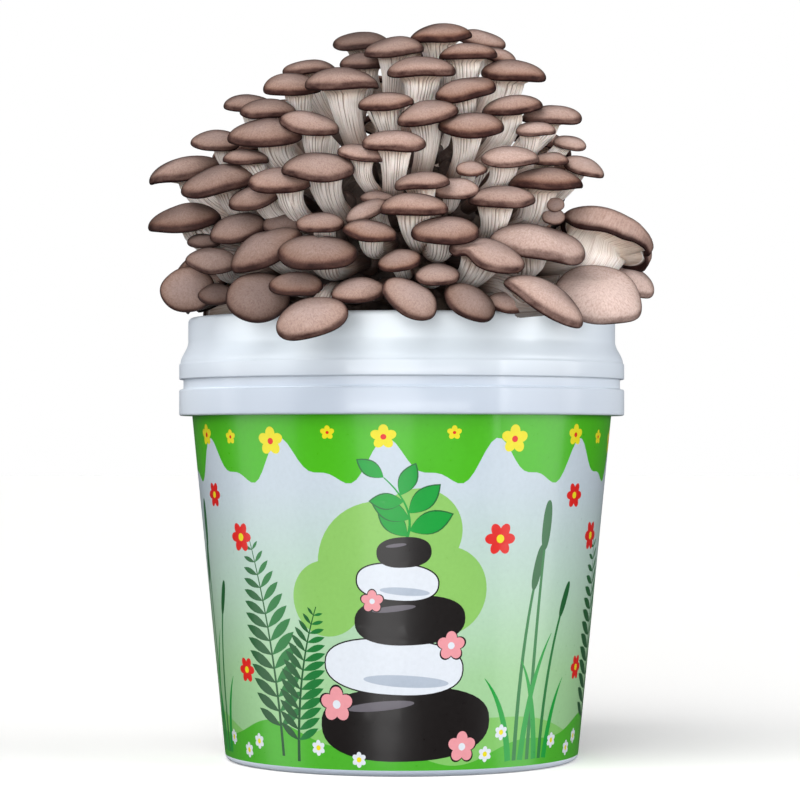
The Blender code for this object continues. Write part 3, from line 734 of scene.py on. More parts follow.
def cap_material():
    """The caps' skin: grey-brown, with streaks, flecks, a dark inrolled rim that is partly its own
    colour and partly painted shade, and a dark outline of painted shade.
    """
    nodes = Nodes("cap_skin")
    tint = nodes.attribute("tint")
    fibres = nodes.noise(nodes.skin((34.0, 34.0, 5.0)), 1.0, 4.0, 0.6)
    blotches = nodes.noise(nodes.skin((2.6, 2.6, 4.5)), 1.0, 4.0, 0.55)
    speckle = nodes.noise(nodes.place(), 900.0, 4.0, 0.65)
    wander = nodes.plus(blotches, 0.30, nodes.plus(tint, -0.16, nodes.attribute("zone")))
    # Darker down the dome to a near-black inrolled margin: partly the skin's own darker margin,
    # partly painted shade.
    base = nodes.ramp(
        nodes.spread(wander, 0.15, 1.15),
        (
            (0.0, (0.410, 0.300, 0.270)),
            (0.22, (0.395, 0.272, 0.230)),
            (0.45, (0.322, 0.200, 0.156)),
            (0.62, (0.215, 0.116, 0.084)),
            (0.76, (0.110, 0.050, 0.037)),
            (0.87, (0.036, 0.014, 0.012)),
            (1.0, (0.012, 0.005, 0.005)),
        ),
    )
    pink = nodes.mix(nodes.spread(tint, 0.0, 1.0, 0.0, 0.75), base, (0.88, 0.70, 0.64))
    colour = nodes.mix(nodes.spread(wander, 0.72, 1.02), pink, base)
    streak = nodes.spread(fibres, 0.40, 0.72, 0.0, 0.55)
    colour = nodes.mix(streak, colour, (0.56, 0.46, 0.42), "MULTIPLY")
    fleck = nodes.spread(speckle, 0.46, 0.72, 0.0, 0.42)
    colour = nodes.mix(fleck, colour, (0.50, 0.42, 0.40), "MULTIPLY")
    # Partly the mushroom's own darker tone, partly painted shade for those in shadow.
    darker = nodes.spread(nodes.attribute("dark"), 0.0, 1.0, 0.0, 0.75)
    colour = nodes.mix(darker, colour, (0.035, 0.022, 0.020))
    # Painted shade: darker where the skin turns away from the camera, and near black at its
    # outline.
    facing = nodes.facing()
    edge = nodes.spread(facing, 0.45, 0.95, 0.0, 0.88)
    colour = nodes.mix(edge, colour, (0.18, 0.13, 0.12), "MULTIPLY")
    outline = nodes.spread(facing, 0.78, 0.97, 0.0, 0.85)
    colour = nodes.mix(outline, colour, (0.012, 0.007, 0.007))
    # Painted shade deep in the cluster, in place of the shadow between the caps.
    inner = nodes.spread(nodes.depth(), 0.50, 0.85, 0.7, 0.0)
    nodes.surface(
        Base_Color=nodes.mix(inner, colour, (0.30, 0.22, 0.20), "MULTIPLY"),
        Roughness=nodes.spread(fibres, 0.3, 0.7, 0.44, 0.56),
        Specular_IOR_Level=0.05,
        Subsurface_Weight=0.02,
        Subsurface_Scale=0.0015,
    )
    nodes.bump(fibres, 0.30, 0.0006)
    return nodes.material


def flesh_material():
    """Gills and stems: pale, browner in their grooves and towards the foot, and soiled below; these
    are partly their own colour and partly painted shade, which also darkens them deep in the
    cluster.
    """
    nodes = Nodes("gills_and_stem")
    fibres = nodes.noise(nodes.skin((44.0, 44.0, 3.2)), 1.0, 5.0, 0.65)
    blotches = nodes.noise(nodes.skin((3.0, 3.0, 3.0)), 1.0, 3.0)
    # Pale under the cap, then browner down the stem and near black at its foot: partly the stem's
    # own browning, partly painted shade deep in the cluster.
    colour = nodes.ramp(
        nodes.attribute("zone"),
        (
            (0.0, (0.78, 0.60, 0.48)),
            (0.05, (0.90, 0.77, 0.66)),
            (0.12, (0.99, 0.93, 0.88)),
            (0.32, (0.97, 0.90, 0.85)),
            (0.50, (0.58, 0.46, 0.40)),
            (0.66, (0.14, 0.086, 0.070)),
            (1.0, (0.020, 0.012, 0.010)),
        ),
    )
    # Darker in the grooves between the ribs: partly the stem's own brown lines, partly painted
    # shade.
    groove = nodes.spread(nodes.attribute("ridge"), 0.05, 0.75, 0.92, 0.0)
    colour = nodes.mix(groove, colour, (0.20, 0.105, 0.070))
    streak = nodes.spread(fibres, 0.49, 0.66, 0.0, 0.80)
    colour = nodes.mix(streak, colour, (0.46, 0.33, 0.26), "MULTIPLY")
    patch = nodes.spread(blotches, 0.52, 0.80, 0.0, 0.25)
    colour = nodes.mix(patch, colour, (0.52, 0.39, 0.29))
    # Darker low down, near the medium: partly soil, partly painted shade under the lowest caps.
    soil_and_shade = nodes.spread(nodes.height(), 0.214, 0.246, 0.85, 0.0)
    colour = nodes.mix(soil_and_shade, colour, (0.10, 0.062, 0.045))
    # Painted shade deep in the cluster, in place of the shadow between the stems.
    inner = nodes.spread(nodes.depth(), 0.36, 0.72, 0.68, 0.0)
    colour = nodes.mix(inner, colour, (0.20, 0.14, 0.115), "MULTIPLY")
    # Partly the mushroom's own darker tone, partly painted shade for those in shadow.
    darker = nodes.spread(nodes.attribute("dark"), 0.0, 1.0, 0.0, 0.6)
    nodes.surface(
        Base_Color=nodes.mix(darker, colour, (0.06, 0.042, 0.036)),
        Roughness=0.60,
        Subsurface_Weight=0.08,
        Subsurface_Scale=0.003,
    )
    nodes.bump(fibres, 0.35, 0.0008)
    return nodes.material


def medium_material():
    nodes = Nodes("crumbly_medium")
    crumbs = nodes.noise(nodes.place(), 260.0, 5.0, 0.65)
    straw = nodes.spread(nodes.noise(nodes.place(), 90.0, 3.0), 0.5, 0.75)
    stops = ((0.3, (0.05, 0.03, 0.02)), (0.5, (0.20, 0.13, 0.08)), (0.72, (0.46, 0.33, 0.19)))
    colour = nodes.mix(straw, nodes.ramp(crumbs, stops), (0.62, 0.52, 0.36))
    nodes.surface(Base_Color=colour, Roughness=0.92)
    nodes.bump(crumbs, 0.9, 0.002)
    return nodes.material


# The base is near black: painted shade for the deep gaps between the stems, in place of its pale
# flesh.
def base_material():
    nodes = Nodes("cluster_flesh_in_painted_shade")
    lumps = nodes.noise(nodes.place(), 70.0, 4.0)
    fine = nodes.noise(nodes.place(), 420.0, 4.0)
    stops = (
        (0.32, (0.014, 0.009, 0.007)),
        (0.5, (0.06, 0.038, 0.029)),
        (0.68, (0.16, 0.115, 0.085)),
    )
    dark_specks = nodes.spread(fine, 0.45, 0.7, 0.0, 0.5)
    colour = nodes.mix(dark_specks, nodes.ramp(lumps, stops), (0.03, 0.019, 0.015))
    nodes.surface(Base_Color=colour, Roughness=0.75)
    nodes.bump(fine, 0.6, 0.0015)
    return nodes.material


# ------------------------------------------------------------------------------------------
# Detailed mushrooms, in shares of a cap's half width

DOME_POWER = 1.90  # of the superellipse that the cap's top follows
DOME_RINGS = 13
LIP_DROP, LIP_INSET = 0.075, 0.045
LIP_ANGLES = (28, 58, 90, 130)  # round the margin, from the dome's edge to the gills
GILL_RINGS, STEM_RINGS = 7, 15
GILL_START, GILL_DROP = 0.90, LIP_DROP * 0.50
GILL_DEPTH, GROOVE_DEPTH = 0.030, 0.055
RIBS = (25, 34)  # two sets of ribs round a stem, which make it uneven together
NEAR_COLUMNS, FAR_COLUMNS = 100, 60
# The dark margin is partly the skin's own colour and partly painted shade.
MARGIN_ZONE = 0.86  # where the dark margin starts, on a scale from the crown to its inner edge
SHAPE_SEED, TONE_SEED = 1000, 5000

# How dark and how pink some mushrooms are beside the others, by bunch; the darkness is partly tone,
# partly painted shade. The rest are random.
DARK = {
    "top_3": (0.35, 0.75),
    "top_4": (0.55, 0.3),
    "top_6": (0.10, 0.0),
    "left_1": (0.15, 0.4, 0.35),
    "left_2": (0.2, 0.25),
    "left_3": (0.2, 0.3),
    "left_4": (0.40, 0.25),
    "left_5": (0.2, 0.3),
    "left_6": (0.0, 0.3, 0.5),
    "left_7": (0.25, 0.3),
    "left_8": (0.3, 0.7),
    "left_9": (0.3, 0.35, 0.6),
    "left_10": (0.25, 0.3),
    "left_11": (0.15,),
    "left_12": (0.2, 0.25),
    "low_1": (0.38,),
    "low_2": (0.25, 0.0),
    "low_5": (0.10, 0.42),
    "middle_2": (0.3, 0.35, 0.2),
    "right_5": (0.2, 0.5, 0.6),
}
PINK = {
    "left_10": (0.10,),
    "left_11": (0.12,),
    "low_1": (0.12,),
    "low_2": (0.0, 0.25),
    "low_4": (0.15, 0.20),
    "low_5": (0.30, 0.10),
    "low_6": (0.42, 0.15),
    "right_6": (0.52,),
    "right_7": (0.38,),
    "right_8": (0.85, 0.70),
}
RANDOM_DARK, RANDOM_PINK = 0.22, 0.35

# Irregular forms of some caps, by bunch and row. Angles go round the cap in degrees, 0 to the
# right, 90 away from the viewer. An arch lifts the rim, a notch cuts into it, a dent presses the
# cap's top down, and a roll turns the rim further in. Each is (angle, width in degrees, size).
FORMS = {
    ("low_1", 0): {"arch": ((60, 30, 0.05),)},
    ("low_5", 0): {"arch": ((-124, 15, 0.19), (-80, 20, -0.04))},
    ("low_6", 0): {"arch": ((-30, 30, -0.05), (-140, 30, 0.05))},
    ("left_10", 0): {"arch": ((70, 25, -0.05),), "dent": ((60, 25, 0.10),)},
    ("left_12", 1): {"dent": ((82, 15, 0.22),), "notch": ((82, 10, 0.05),)},
    ("right_4", 0): {"arch": ((-50, 35, 0.05),)},
    ("right_6", 0): {"arch": ((-130, 25, 0.05), (-40, 30, -0.04))},
    ("right_7", 0): {
        "roll": ((-122, 40, 0.40), (-68, 26, 0.20), (-25, 22, 0.12), (12, 18, 0.16)),
        "notch": ((-62, 5, 0.03), (-8, 6, 0.12)),
        "arch": ((-62, 8, 0.05), (-8, 8, 0.08)),
        "fan": 0.35,
        "ribs": 0.12,
    },
    ("right_8", 0): {
        "arch": ((-70, 30, 0.07), (-10, 28, -0.08), (60, 30, 0.06)),
        "dent": ((120, 50, 0.12),),
    },
}


def share_between(value, start, end):
    """0 at the start of a range and 1 at its end, and the same beyond them."""
    return min(1.0, max(0.0, (value - start) / (end - start)))


def cap_profile():
    """(radius, height, zone) of the cap's rings from crown to gills. The zone runs from 0 at the
    crown to 1 at the inrolled margin."""
    found = []
    for i in range(1, DOME_RINGS + 1):
        angle = math.pi / 2 * (i / DOME_RINGS) ** 0.85
        radius = math.sin(angle) ** (2 / DOME_POWER)
        height = CAP_RISE * max(0.0, math.cos(angle)) ** (2 / DOME_POWER)
        # The zone, by which the skin darkens, grows down the dome and towards the rim: partly the
        # margin's own colour, partly painted shade.
        edge = share_between(radius, 0.66, 0.98)
        found.append((radius, height, MARGIN_ZONE * max(1.0 - height / CAP_RISE, edge**1.7)))
    margin = []
    for angle in map(math.radians, LIP_ANGLES):
        reach = 1.0 - LIP_INSET + LIP_INSET * math.cos(angle)
        margin.append((reach, -LIP_DROP * math.sin(angle)))
    for i, (radius, height) in enumerate([*margin, (GILL_START, -GILL_DROP)]):
        found.append((radius, height, min(1.0, MARGIN_ZONE + 0.07 * (i + 1))))
    return found


CAP_PROFILE = cap_profile()


def stem_radius(share):
    """Radius of the stem along its length."""
    middle, foot = STEM_RADII
    if share < STEM_STATIONS[0]:
        left = 1.0 - share / STEM_STATIONS[0]
        return middle + (THROAT_RADIUS - middle) * left**1.9
    return middle + (foot - middle) * (share - STEM_STATIONS[0]) / (1.0 - STEM_STATIONS[0])


def bumps(angles, rows):
    """A sum of rounded bumps round the cap, each at an angle, of a width and a size."""
    total = np.zeros_like(angles)
    for place, width, size in rows:
        away = (angles - math.radians(place) + math.pi) % (2 * math.pi) - math.pi
        total += size * np.exp(-((away / math.radians(width)) ** 2))
    return total


def waves(angles, random, harmonics, size):
    """A sum of a few sine waves round the axis, of random phase."""
    total = np.zeros_like(angles)
    for count in harmonics:
        height = size / count**0.5 * random.uniform(0.4, 1.0)
        total += height * np.sin(count * angles + random.uniform(0, 6.283))
    return total


def grooves(angles, phases, along):
    """0 on the ribs round a stem and 1 in the grooves between them. The ribs wander, part and
    merge along its length."""
    drift = 1.5 * np.sin(2 * angles + phases[0] + 1.6 * along)
    drift += 1.1 * np.sin(3 * angles + phases[1] - 2.3 * along)
    drift += 0.6 * np.sin(5 * angles + phases[2] + 4.0 * along)
    coarse = np.cos(RIBS[0] * angles + drift)
    fine = np.cos(RIBS[1] * angles - 0.8 * drift + phases[3] + 2.5 * along)
    return np.clip((0.60 * coarse + 0.40 * fine - 0.02) / 0.80, 0.0, 1.0)


class FineMushroom:
    """The rings of one detailed mushroom from its crown to its foot, with what its material
    reads at each point: the zone, and the ridge, which is 0 in a groove and 1 beside it."""

    def __init__(self, member, foot, number, columns, form):
        random = np.random.default_rng(SHAPE_SEED + number)
        self.member, self.foot, self.columns, self.half = member, foot, columns, member.half
        self.angles = angles = 2 * math.pi * np.arange(columns) / columns
        self.cos, self.sin = np.cos(angles), np.sin(angles)
        self.across, self.back, self.up = (np.array(axis) for axis in member.axes.col)
        self.centre = np.array(member.centre)
        self.lobes = 1.0 + waves(angles, random, (2, 3, 5), 0.030)
        self.lobes -= bumps(angles, form.get("notch", ()))
        self.swell = waves(angles, random, (1, 2, 3), 0.050)
        self.flutter = waves(angles, random, (2, 3, 4), 0.040)
        self.flutter += bumps(angles, form.get("arch", ()))
        self.peak = random.uniform(-0.16, 0.16, 2)
        self.dent = bumps(angles, form.get("dent", ()))
        self.roll = bumps(angles, form.get("roll", ()))
        self.fan, self.ribs = form.get("fan", 0.0), form.get("ribs", 1.0)
        self.blade = np.where(np.arange(columns) % 2 == 0, 1.0, 0.0)
        self.blade *= random.uniform(0.5, 1.0, columns)
        self.phases = random.uniform(0, 2 * math.pi, 4)
        self.bend = waves(angles, random, (2, 3), 0.07)
        self.points, self.zones, self.ridges = [], [], []
        self.grow_cap()
        self.cap_rings = len(self.points)
        self.grow_gills()
        self.grow_stem()

    def add_ring(self, middle, first, second, zone, ridge):
        """A ring round its middle, from the reach along two axes at each of its points."""
        self.points.append(middle + first + second)
        self.zones.append(np.broadcast_to(zone, self.columns))
        self.ridges.append(np.broadcast_to(ridge, self.columns))

    def outwards(self, reach):
        """The cap's own two axes, each times its part of the reach."""
        return (
            (reach * self.cos)[:, None] * self.across,
            (reach * CAP_DEPTH * self.sin)[:, None] * self.back,
        )

    def grow_cap(self):
        for radius, height, zone in CAP_PROFILE:
            lift = height * (1.0 + self.swell * radius) + self.flutter * radius**3
            rise = self.half * (lift - self.dent * radius * (1.0 - radius**4))
            # A rim that rolls further in gets a lower zone, and so less of the margin's painted
            # shade.
            if height < 0.0 and radius > GILL_START:
                rise = rise - self.half * self.roll * min(1.0, -height / LIP_DROP)
                zone = zone - 2.6 * self.roll * max(0.0, 1.0 - (zone - MARGIN_ZONE) / 0.12)
            elif height >= 0.0:
                zone = zone - 1.6 * self.roll * max(0.0, zone - 0.3)
            aside = self.cos * self.peak[0] + self.sin * self.peak[1]
            rise = rise * (1.0 + aside * radius * (1.0 - radius) * 2.0)
            middle = self.centre + rise[:, None] * self.up
            reach = self.half * radius * self.lobes
            self.add_ring(middle, *self.outwards(reach), np.maximum(zone, 0.0), 1.0)

    def grow_gills(self):
        throat = np.array(self.member.throat())
        below = self.centre - self.up * (self.half * THROAT_DROP)
        for share in np.arange(1, GILL_RINGS + 1) / GILL_RINGS:
            left = 1.0 - share
            radius = GILL_START + (THROAT_RADIUS - GILL_START) * share**0.8
            fall = share ** (0.9 if self.fan else 1.8)
            height = -GILL_DROP - (THROAT_DROP - GILL_DROP) * fall
            slim = 1.0 + (self.member.slim - 1.0) * share
            reach = self.half * radius * (1.0 + (self.lobes - 1.0) * left) * slim
            fold = self.blade * left + grooves(self.angles, self.phases, 0.0) * share
            fold = self.ribs * fold
            depth = GILL_DEPTH * left + GROOVE_DEPTH * share
            depth = self.half * depth * min(1.0, share * 3) * fold
            rise = self.half * (height + self.flutter * radius**3 * left) + depth * left
            middle = self.centre + (throat - below) * share**1.5 + rise[:, None] * self.up
            sides = self.outwards(reach - depth * share)
            self.add_ring(middle, *sides, 0.06 * share, 1.0 - fold)

    def grow_stem(self):
        heading = -Vector(self.up)
        first, second = Vector(self.across), Vector(self.back)
        for share in (np.arange(1, STEM_RINGS + 1) / STEM_RINGS) ** 1.25:
            point, new_heading = self.member.spine(self.foot, share)
            turn = heading.rotation_difference(new_heading)
            first, second, heading = turn @ first, turn @ second, new_heading
            wide = 1.0 + self.bend + self.fan * (1.0 - share) ** 2
            wide = self.half * stem_radius(share) * self.member.slim * wide
            flat = CAP_DEPTH + (1.0 - CAP_DEPTH) * min(1.0, share * 2)
            fold = self.ribs * grooves(self.angles, self.phases, share * 2.0)
            fold = fold * (1.0 - 0.5 * share)
            reach = wide - self.half * GROOVE_DEPTH * (1.0 - 0.55 * share) * fold
            one = (reach * self.cos)[:, None] * np.array(first)
            two = (reach * flat * self.sin)[:, None] * np.array(second)
            # The zone grows down the stem to 1 at its foot, where the flesh's colour is near black:
            # painted shade.
            self.add_ring(np.array(point), one, two, 0.06 + 0.94 * share, 1.0 - fold)

    def skin(self):
        """A place on the skin for each point: round it, and along it from the crown."""
        rings = len(self.points)
        skin = np.zeros((rings, self.columns, 3))
        skin[:, :, 0], skin[:, :, 1] = self.cos, self.sin
        wide = np.linspace(0.25, 1.0, self.cap_rings)[:, None, None] ** 0.5
        skin[: self.cap_rings, :, :2] *= wide
        skin[: self.cap_rings, :, 2] = np.linspace(0.1, 1.0, self.cap_rings)[:, None]
        skin[self.cap_rings :, :, 2] = np.linspace(1.1, 2.6, rings - self.cap_rings)[:, None]
        return np.concatenate([skin.reshape(-1, 3), [[0, 0, 0.0]], [[0, 0, 2.6]]])

    def arrays(self):
        """Points, faces, their slots (0 on the cap and 1 below it), skin, zones and ridges."""
        rings, columns = len(self.points), self.columns
        crown = self.centre + self.up * (self.half * CAP_RISE)
        points = np.concatenate([*self.points, [crown], [np.array(self.foot.end)]])
        faces = [part[:, ::-1] for part in closed_faces(rings, columns)]
        row_of = np.repeat(np.arange(rings - 1), columns)
        slots = [row_of >= self.cap_rings - 1, np.zeros(columns), np.ones(columns)]
        zones = np.concatenate([*self.zones, [0.0, 1.0]])
        ridges = np.concatenate([*self.ridges, [1.0, 0.5]])
        return points, faces, slots, self.skin(), zones, np.clip(ridges, 0, 1)


def knuckle_arrays(foot, number):
    """The lumpy mass that the stems of a bunch grow out of, as the same arrays."""
    bm = bmesh.new()
    bmesh.ops.create_icosphere(bm, subdivisions=3, radius=1.0)
    seed = Vector((number * 0.7, 3.1, 0.0))
    points = []
    for vert in bm.verts:
        lump = mathutils_noise.fractal(vert.co * 2.0 + seed, 0.8, 2.0, 3)
        points.append(foot.end + vert.co * (foot.knuckle * (1.0 + 0.16 * lump)))
    faces = np.array([[vert.index for vert in face.verts] for face in bm.faces])
    bm.free()
    points = np.array(points)
    skin = (points - points.mean(axis=0)) / foot.knuckle
    # At a zone of 0.8 the flesh is near black: painted shade, as at the stems' feet.
    zones, ridges = np.full(len(points), 0.8), np.ones(len(points))
    return points, [faces], [np.ones(len(faces))], skin, zones, ridges


def painted_shade_of_place(member):
    """Painted shade: how much darker a mushroom is low on the cluster, at the left and at the very
    foot.
    """
    x, _, z = member.centre
    left = 0.26 * share_between(z, 0.310, 0.260) * share_between(x, -0.015, -0.065)
    return left + 0.14 * share_between(z, 0.256, 0.236) * share_between(x, 0.065, 0.045)


def add_mushrooms(name, members, foot, number, materials):
    """One piece for a bunch: its detailed mushrooms, and the lump at their feet."""
    columns = FAR_COLUMNS if name.startswith(("side", "back")) else NEAR_COLUMNS
    clouds = []
    for i, member in enumerate(members):
        form = FORMS.get((name, i), {})
        clouds.append(FineMushroom(member, foot, number + i, columns, form).arrays())
    if foot.knuckle:
        clouds.append(knuckle_arrays(foot, number))
    faces, slots = [], []
    fields = {"skin": [], "seed": [], "zone": [], "ridge": [], "tint": [], "dark": []}
    offset = 0
    for i, (points, parts, part_slots, *marks) in enumerate(clouds):
        random = np.random.default_rng(TONE_SEED + number + i)
        faces += [part + offset for part in parts]
        slots += part_slots
        offset += len(points)
        seed = random.uniform(0, 50, 3)
        tones_and_shade = []
        for table, most in ((PINK, RANDOM_PINK), (DARK, RANDOM_DARK)):
            given = table.get(name, ())
            tones_and_shade.append(given[i] if i < len(given) else random.uniform(0.0, most))
        # Painted shade low on the cluster is added to each mushroom's darkness.
        if i < len(members):
            tones_and_shade[1] += painted_shade_of_place(members[i])
        for field, values in zip(("skin", "zone", "ridge"), marks):
            fields[field].append(values)
        for field, value in zip(("seed", "tint", "dark"), (seed, *tones_and_shade)):
            fields[field].append(np.broadcast_to(value, (len(points), *np.shape(value))))
    points = np.concatenate([cloud[0] for cloud in clouds])
    piece = mesh_object(f"{name}_mushrooms", points, faces, materials, slots)
    for field, values in fields.items():
        add_attribute(piece, field, np.concatenate(values))
    finish_piece(piece, name)


# ------------------------------------------------------------------------------------------
# The printed picture: flat shapes in millimetres on the unrolled wall. One third of the wall is
# drawn, and it is repeated three times round the pail.

UNROLL_RADIUS = 96.0
THIRD = 2 * math.pi * UNROLL_RADIUS / 3
LABEL_BOTTOM, LABEL_TOP = 3.0, 170.5
LABEL_COLUMNS, LABEL_ROWS = 40, 22
SMALLEST_AREA = 1e-6

PRINT_COLOURS = {
    "ground": "CBD6E4",
    "border": "4CBB17",
    "pale_leaf": "90C968",
    "reed": "14602A",
    "reed_light": "1E7A38",
    "leaf": "0FA03A",
    "ink": "1A1616",
    "white": "E6ECF5",
    "pink": "F0A0A8",
    "red": "E3201B",
    "yellow": "F2E522",
    "hill": "4FB52E",
    "hill_far": "86C96A",
    "shine": "6E6A72",
    "shade": "B9C4D4",
}
# Colours that change from the foot of the label to its top
FADES = {
    "ground": (
        (0.0, "9BCE90"),
        (0.28, "A9D5A2"),
        (0.55, "BFDACB"),
        (0.80, "CBD8E2"),
        (1.0, "CFDAE8"),
    ),
    "reed": ((0.0, "0E4A20"), (0.7, "1E6A34")),
}

CLOUD = ((-10, 100, 30), (20, 88, 21), (-36, 84, 18), (8, 116, 20))  # place and radius
FERNS = (((-66, 8), 104, -14, 17), ((-56, 6), 74, 14, 13))  # foot, height, lean, leaflets' length
REEDS = ((62, 92, 8, 11), (71, 112, 3, 12), (80, 76, 12, 9))  # place, height, lean, head's length
BLADES = ((58, -16, 46), (66, 17, 66), (76, -13, 54), (84, 12, 44))  # place, lean, height
TWIG = ((0, 108), (10, 124), (-8, 141))  # start, control point and end of its curve
TWIG_STEPS = 12
TWIG_LEAVES = (  # step along the twig, turn from it, length
    (2, 62, 19),
    (3, -58, 21),
    (5, 60, 18),
    (6, -60, 19),
    (8, 62, 15),
    (9, -58, 16),
    (12, 10, 14),
)
STONES = (  # colour, middle, half width, half height, tilt
    ("ink", (2, 25), 43, 17, 1.5),
    ("white", (-4, 52), 34, 13, -3.0),
    ("ink", (4, 74), 26, 11, 2.5),
    ("white", (-2, 92), 19, 8.5, -4.0),
    ("ink", (1, 106), 12, 6.5, 3.0),
)
# Petals' colour, number, first angle and roundness, and the heart's colour, share and corners
FLOWERS = (
    ("pink", 5, 90, 0.42, "white", 0.26, 12),
    ("red", 6, 60, 0.34, "yellow", 0.27, 14),
    ("yellow", 5, 90, 0.40, "red", 0.24, 12),
    ("white", 6, 30, 0.36, "yellow", 1.3 / 3.6, 10),
)
FLOWER_PLACES = {  # middle and radius of each, by the colour of the petals
    "pink": ((-33, 34, 8), (31, 14, 7), (24, 62, 6.5), (-14, 83, 5)),
    "red": ((47, 112, 7.5), (-86, 112, 7), (-90, 48, 6), (93, 132, 6)),
    "yellow": (
        *((-62, 158, 6.5), (-8, 160, 5.5), (52, 159, 6.5), (90, 161, 5.0)),
        *((-33, 162, 3.2), (23, 162, 3.2), (-88, 160, 3.4)),
    ),
    "white": (
        *((-44, 13, 3.6), (-22, 8, 3.6), (44, 10, 3.6), (90, 14, 3.6)),
        *((-84, 14, 3.6), (-94, 9, 3.6), (53, 20, 3.6)),
    ),
}


def turned_by(points, degrees, centre):
    angle = math.radians(degrees)
    cos, sin = math.cos(angle), math.sin(angle)
    return [(centre[0] + x * cos - y * sin, centre[1] + x * sin + y * cos) for x, y in points]


def heading(start, end):
    return math.degrees(math.atan2(end[1] - start[1], end[0] - start[0]))


def pebble(centre, wide, tall, tilt=0.0, power=2.4, count=44):
    """A superellipse: a power of 2 makes an ellipse, and more than that a squarer shape."""
    points = []
    for i in range(count):
        angle = 2 * math.pi * i / count
        cos, sin = math.cos(angle), math.sin(angle)
        x = wide * math.copysign(abs(cos) ** (2 / power), cos)
        points.append((x, tall * math.copysign(abs(sin) ** (2 / power), sin)))
    return turned_by(points, tilt, centre)


def round_spot(centre, radius, count=20):
    return pebble(centre, radius, radius, power=2.0, count=count)


def leaf(start, length, wide, direction, belly=0.5, count=9):
    """A pointed leaf that grows from a point in a direction, in degrees from the right."""
    edge = []
    for i in range(count + 1):
        share = i / count
        edge.append((length * share, wide * math.sin(math.pi * share ** (1.5 - belly)) ** 0.9))
    return turned_by(edge + [(x, -y) for x, y in edge[-2:0:-1]], direction, start)


def stripe(path, widths):
    """A band along a path of points, of a width at each."""
    left, right = [], []
    for i, (x, y) in enumerate(path):
        along = math.radians(heading(path[max(0, i - 1)], path[min(len(path) - 1, i + 1)]))
        dx, dy = -math.sin(along) * widths[i] / 2, math.cos(along) * widths[i] / 2
        left.append((x + dx, y + dy))
        right.append((x - dx, y - dy))
    return left + right[::-1]


def curve_points(start, control, end, count):
    found = []
    for i in range(count + 1):
        t = i / count
        weights = ((1 - t) ** 2, 2 * t * (1 - t), t**2)
        pairs = zip(start, control, end)
        found.append(tuple(sum(w * p for w, p in zip(weights, row)) for row in pairs))
    return found


def blossom(centre, radius, petals, start, fill):
    """Overlapping round petals, each its own outline."""
    found = []
    for i in range(petals):
        turn = start + 360 * i / petals
        middle = turned_by([(radius * 0.58, 0.0)], turn, centre)[0]
        found.append(pebble(middle, radius * 0.48, radius * fill, turn, 2.0, 18))
    return found


def wavy_band(waves_of_edge, other):
    """A band across the third between a wavy edge and a straight height. The edge is a height and
    rows of (size, waves round the pail, phase)."""
    middle, *rows = waves_of_edge
    wavy = []
    for u in np.linspace(-THIRD / 2, THIRD / 2, 81):
        bends = (size * math.cos(count * u / UNROLL_RADIUS + phase) for size, count, phase in rows)
        wavy.append((float(u), middle + sum(bends)))
    return [(-THIRD / 2, other), *wavy, (THIRD / 2, other)]


def fern(foot, height, lean, size, steps=16):
    """A frond: a curved rachis with pairs of leaflets that shorten towards its tip."""
    bend = (foot[0] + lean * 0.1, foot[1] + height * 0.55)
    path = curve_points(foot, bend, (foot[0] + lean, foot[1] + height), steps)
    shapes = [("reed", stripe(path, [1.8 - 1.3 * i / steps for i in range(steps + 1)]))]
    for i in range(2, steps):
        along = heading(path[i], path[i + 1])
        length = size * math.sin(math.pi * (0.25 + 0.72 * i / steps)) + 2.0
        for turn, colour in ((58, "reed"), (-58, "reed_light")):
            shapes.append((colour, leaf(path[i], length, length * 0.14, along + turn, 0.4, 6)))
    return shapes


def reed(foot, height, lean, head, steps=10):
    """A stalk with a long oval head."""
    bend, tip = (foot[0], foot[1] + height * 0.6), (foot[0] + lean, foot[1] + height)
    path = curve_points(foot, bend, tip, steps)
    along = heading(path[-2], path[-1])
    return [
        ("reed_light", stripe(path, [2.6 - 1.2 * i / steps for i in range(steps + 1)])),
        ("reed", pebble(path[-1], head, head * 0.24, along, 2.3, 26)),
    ]


def blade(x, lean, height, steps=10):
    """A blade of grass that narrows to its tip."""
    path = curve_points((x, 6), (x + lean * 0.2, height * 0.7), (x + lean, height), steps)
    return ("leaf", stripe(path, [3.4 * (1 - (i / steps) ** 2) + 0.3 for i in range(steps + 1)]))


def twig():
    """A twig with leaves, each on a darker edge."""
    path = curve_points(*TWIG, TWIG_STEPS)
    shapes = [("leaf", stripe(path, [1.5 - 0.08 * i for i in range(TWIG_STEPS + 1)]))]
    for i, turn, length in TWIG_LEAVES:
        along = heading(path[i - 1], path[min(i + 1, TWIG_STEPS)]) + turn
        shapes.append(("reed", leaf(path[i], length + 0.9, length * 0.23 + 0.6, along)))
        shapes.append(("leaf", leaf(path[i], length, length * 0.23, along)))
    return shapes


def stone(colour, centre, wide, tall, tilt):
    """A stone with a dark edge, and a shadow on a white one or a shine on a dark one."""
    x, y = centre
    shapes = [("ink", pebble(centre, wide + 0.7, tall + 0.7, tilt))]
    if colour == "white":
        low = (x + wide * 0.18, y - tall * 0.52)
        shapes.append(("white", pebble(centre, wide, tall, tilt)))
        shapes.append(("shade", pebble(low, wide * 0.62, tall * 0.22, tilt, 2.0, 30)))
    else:
        high = (x - wide * 0.30, y + tall * 0.50)
        shapes.append(("shine", pebble(high, wide * 0.40, tall * 0.13, tilt + 4, 2.0, 26)))
    return shapes


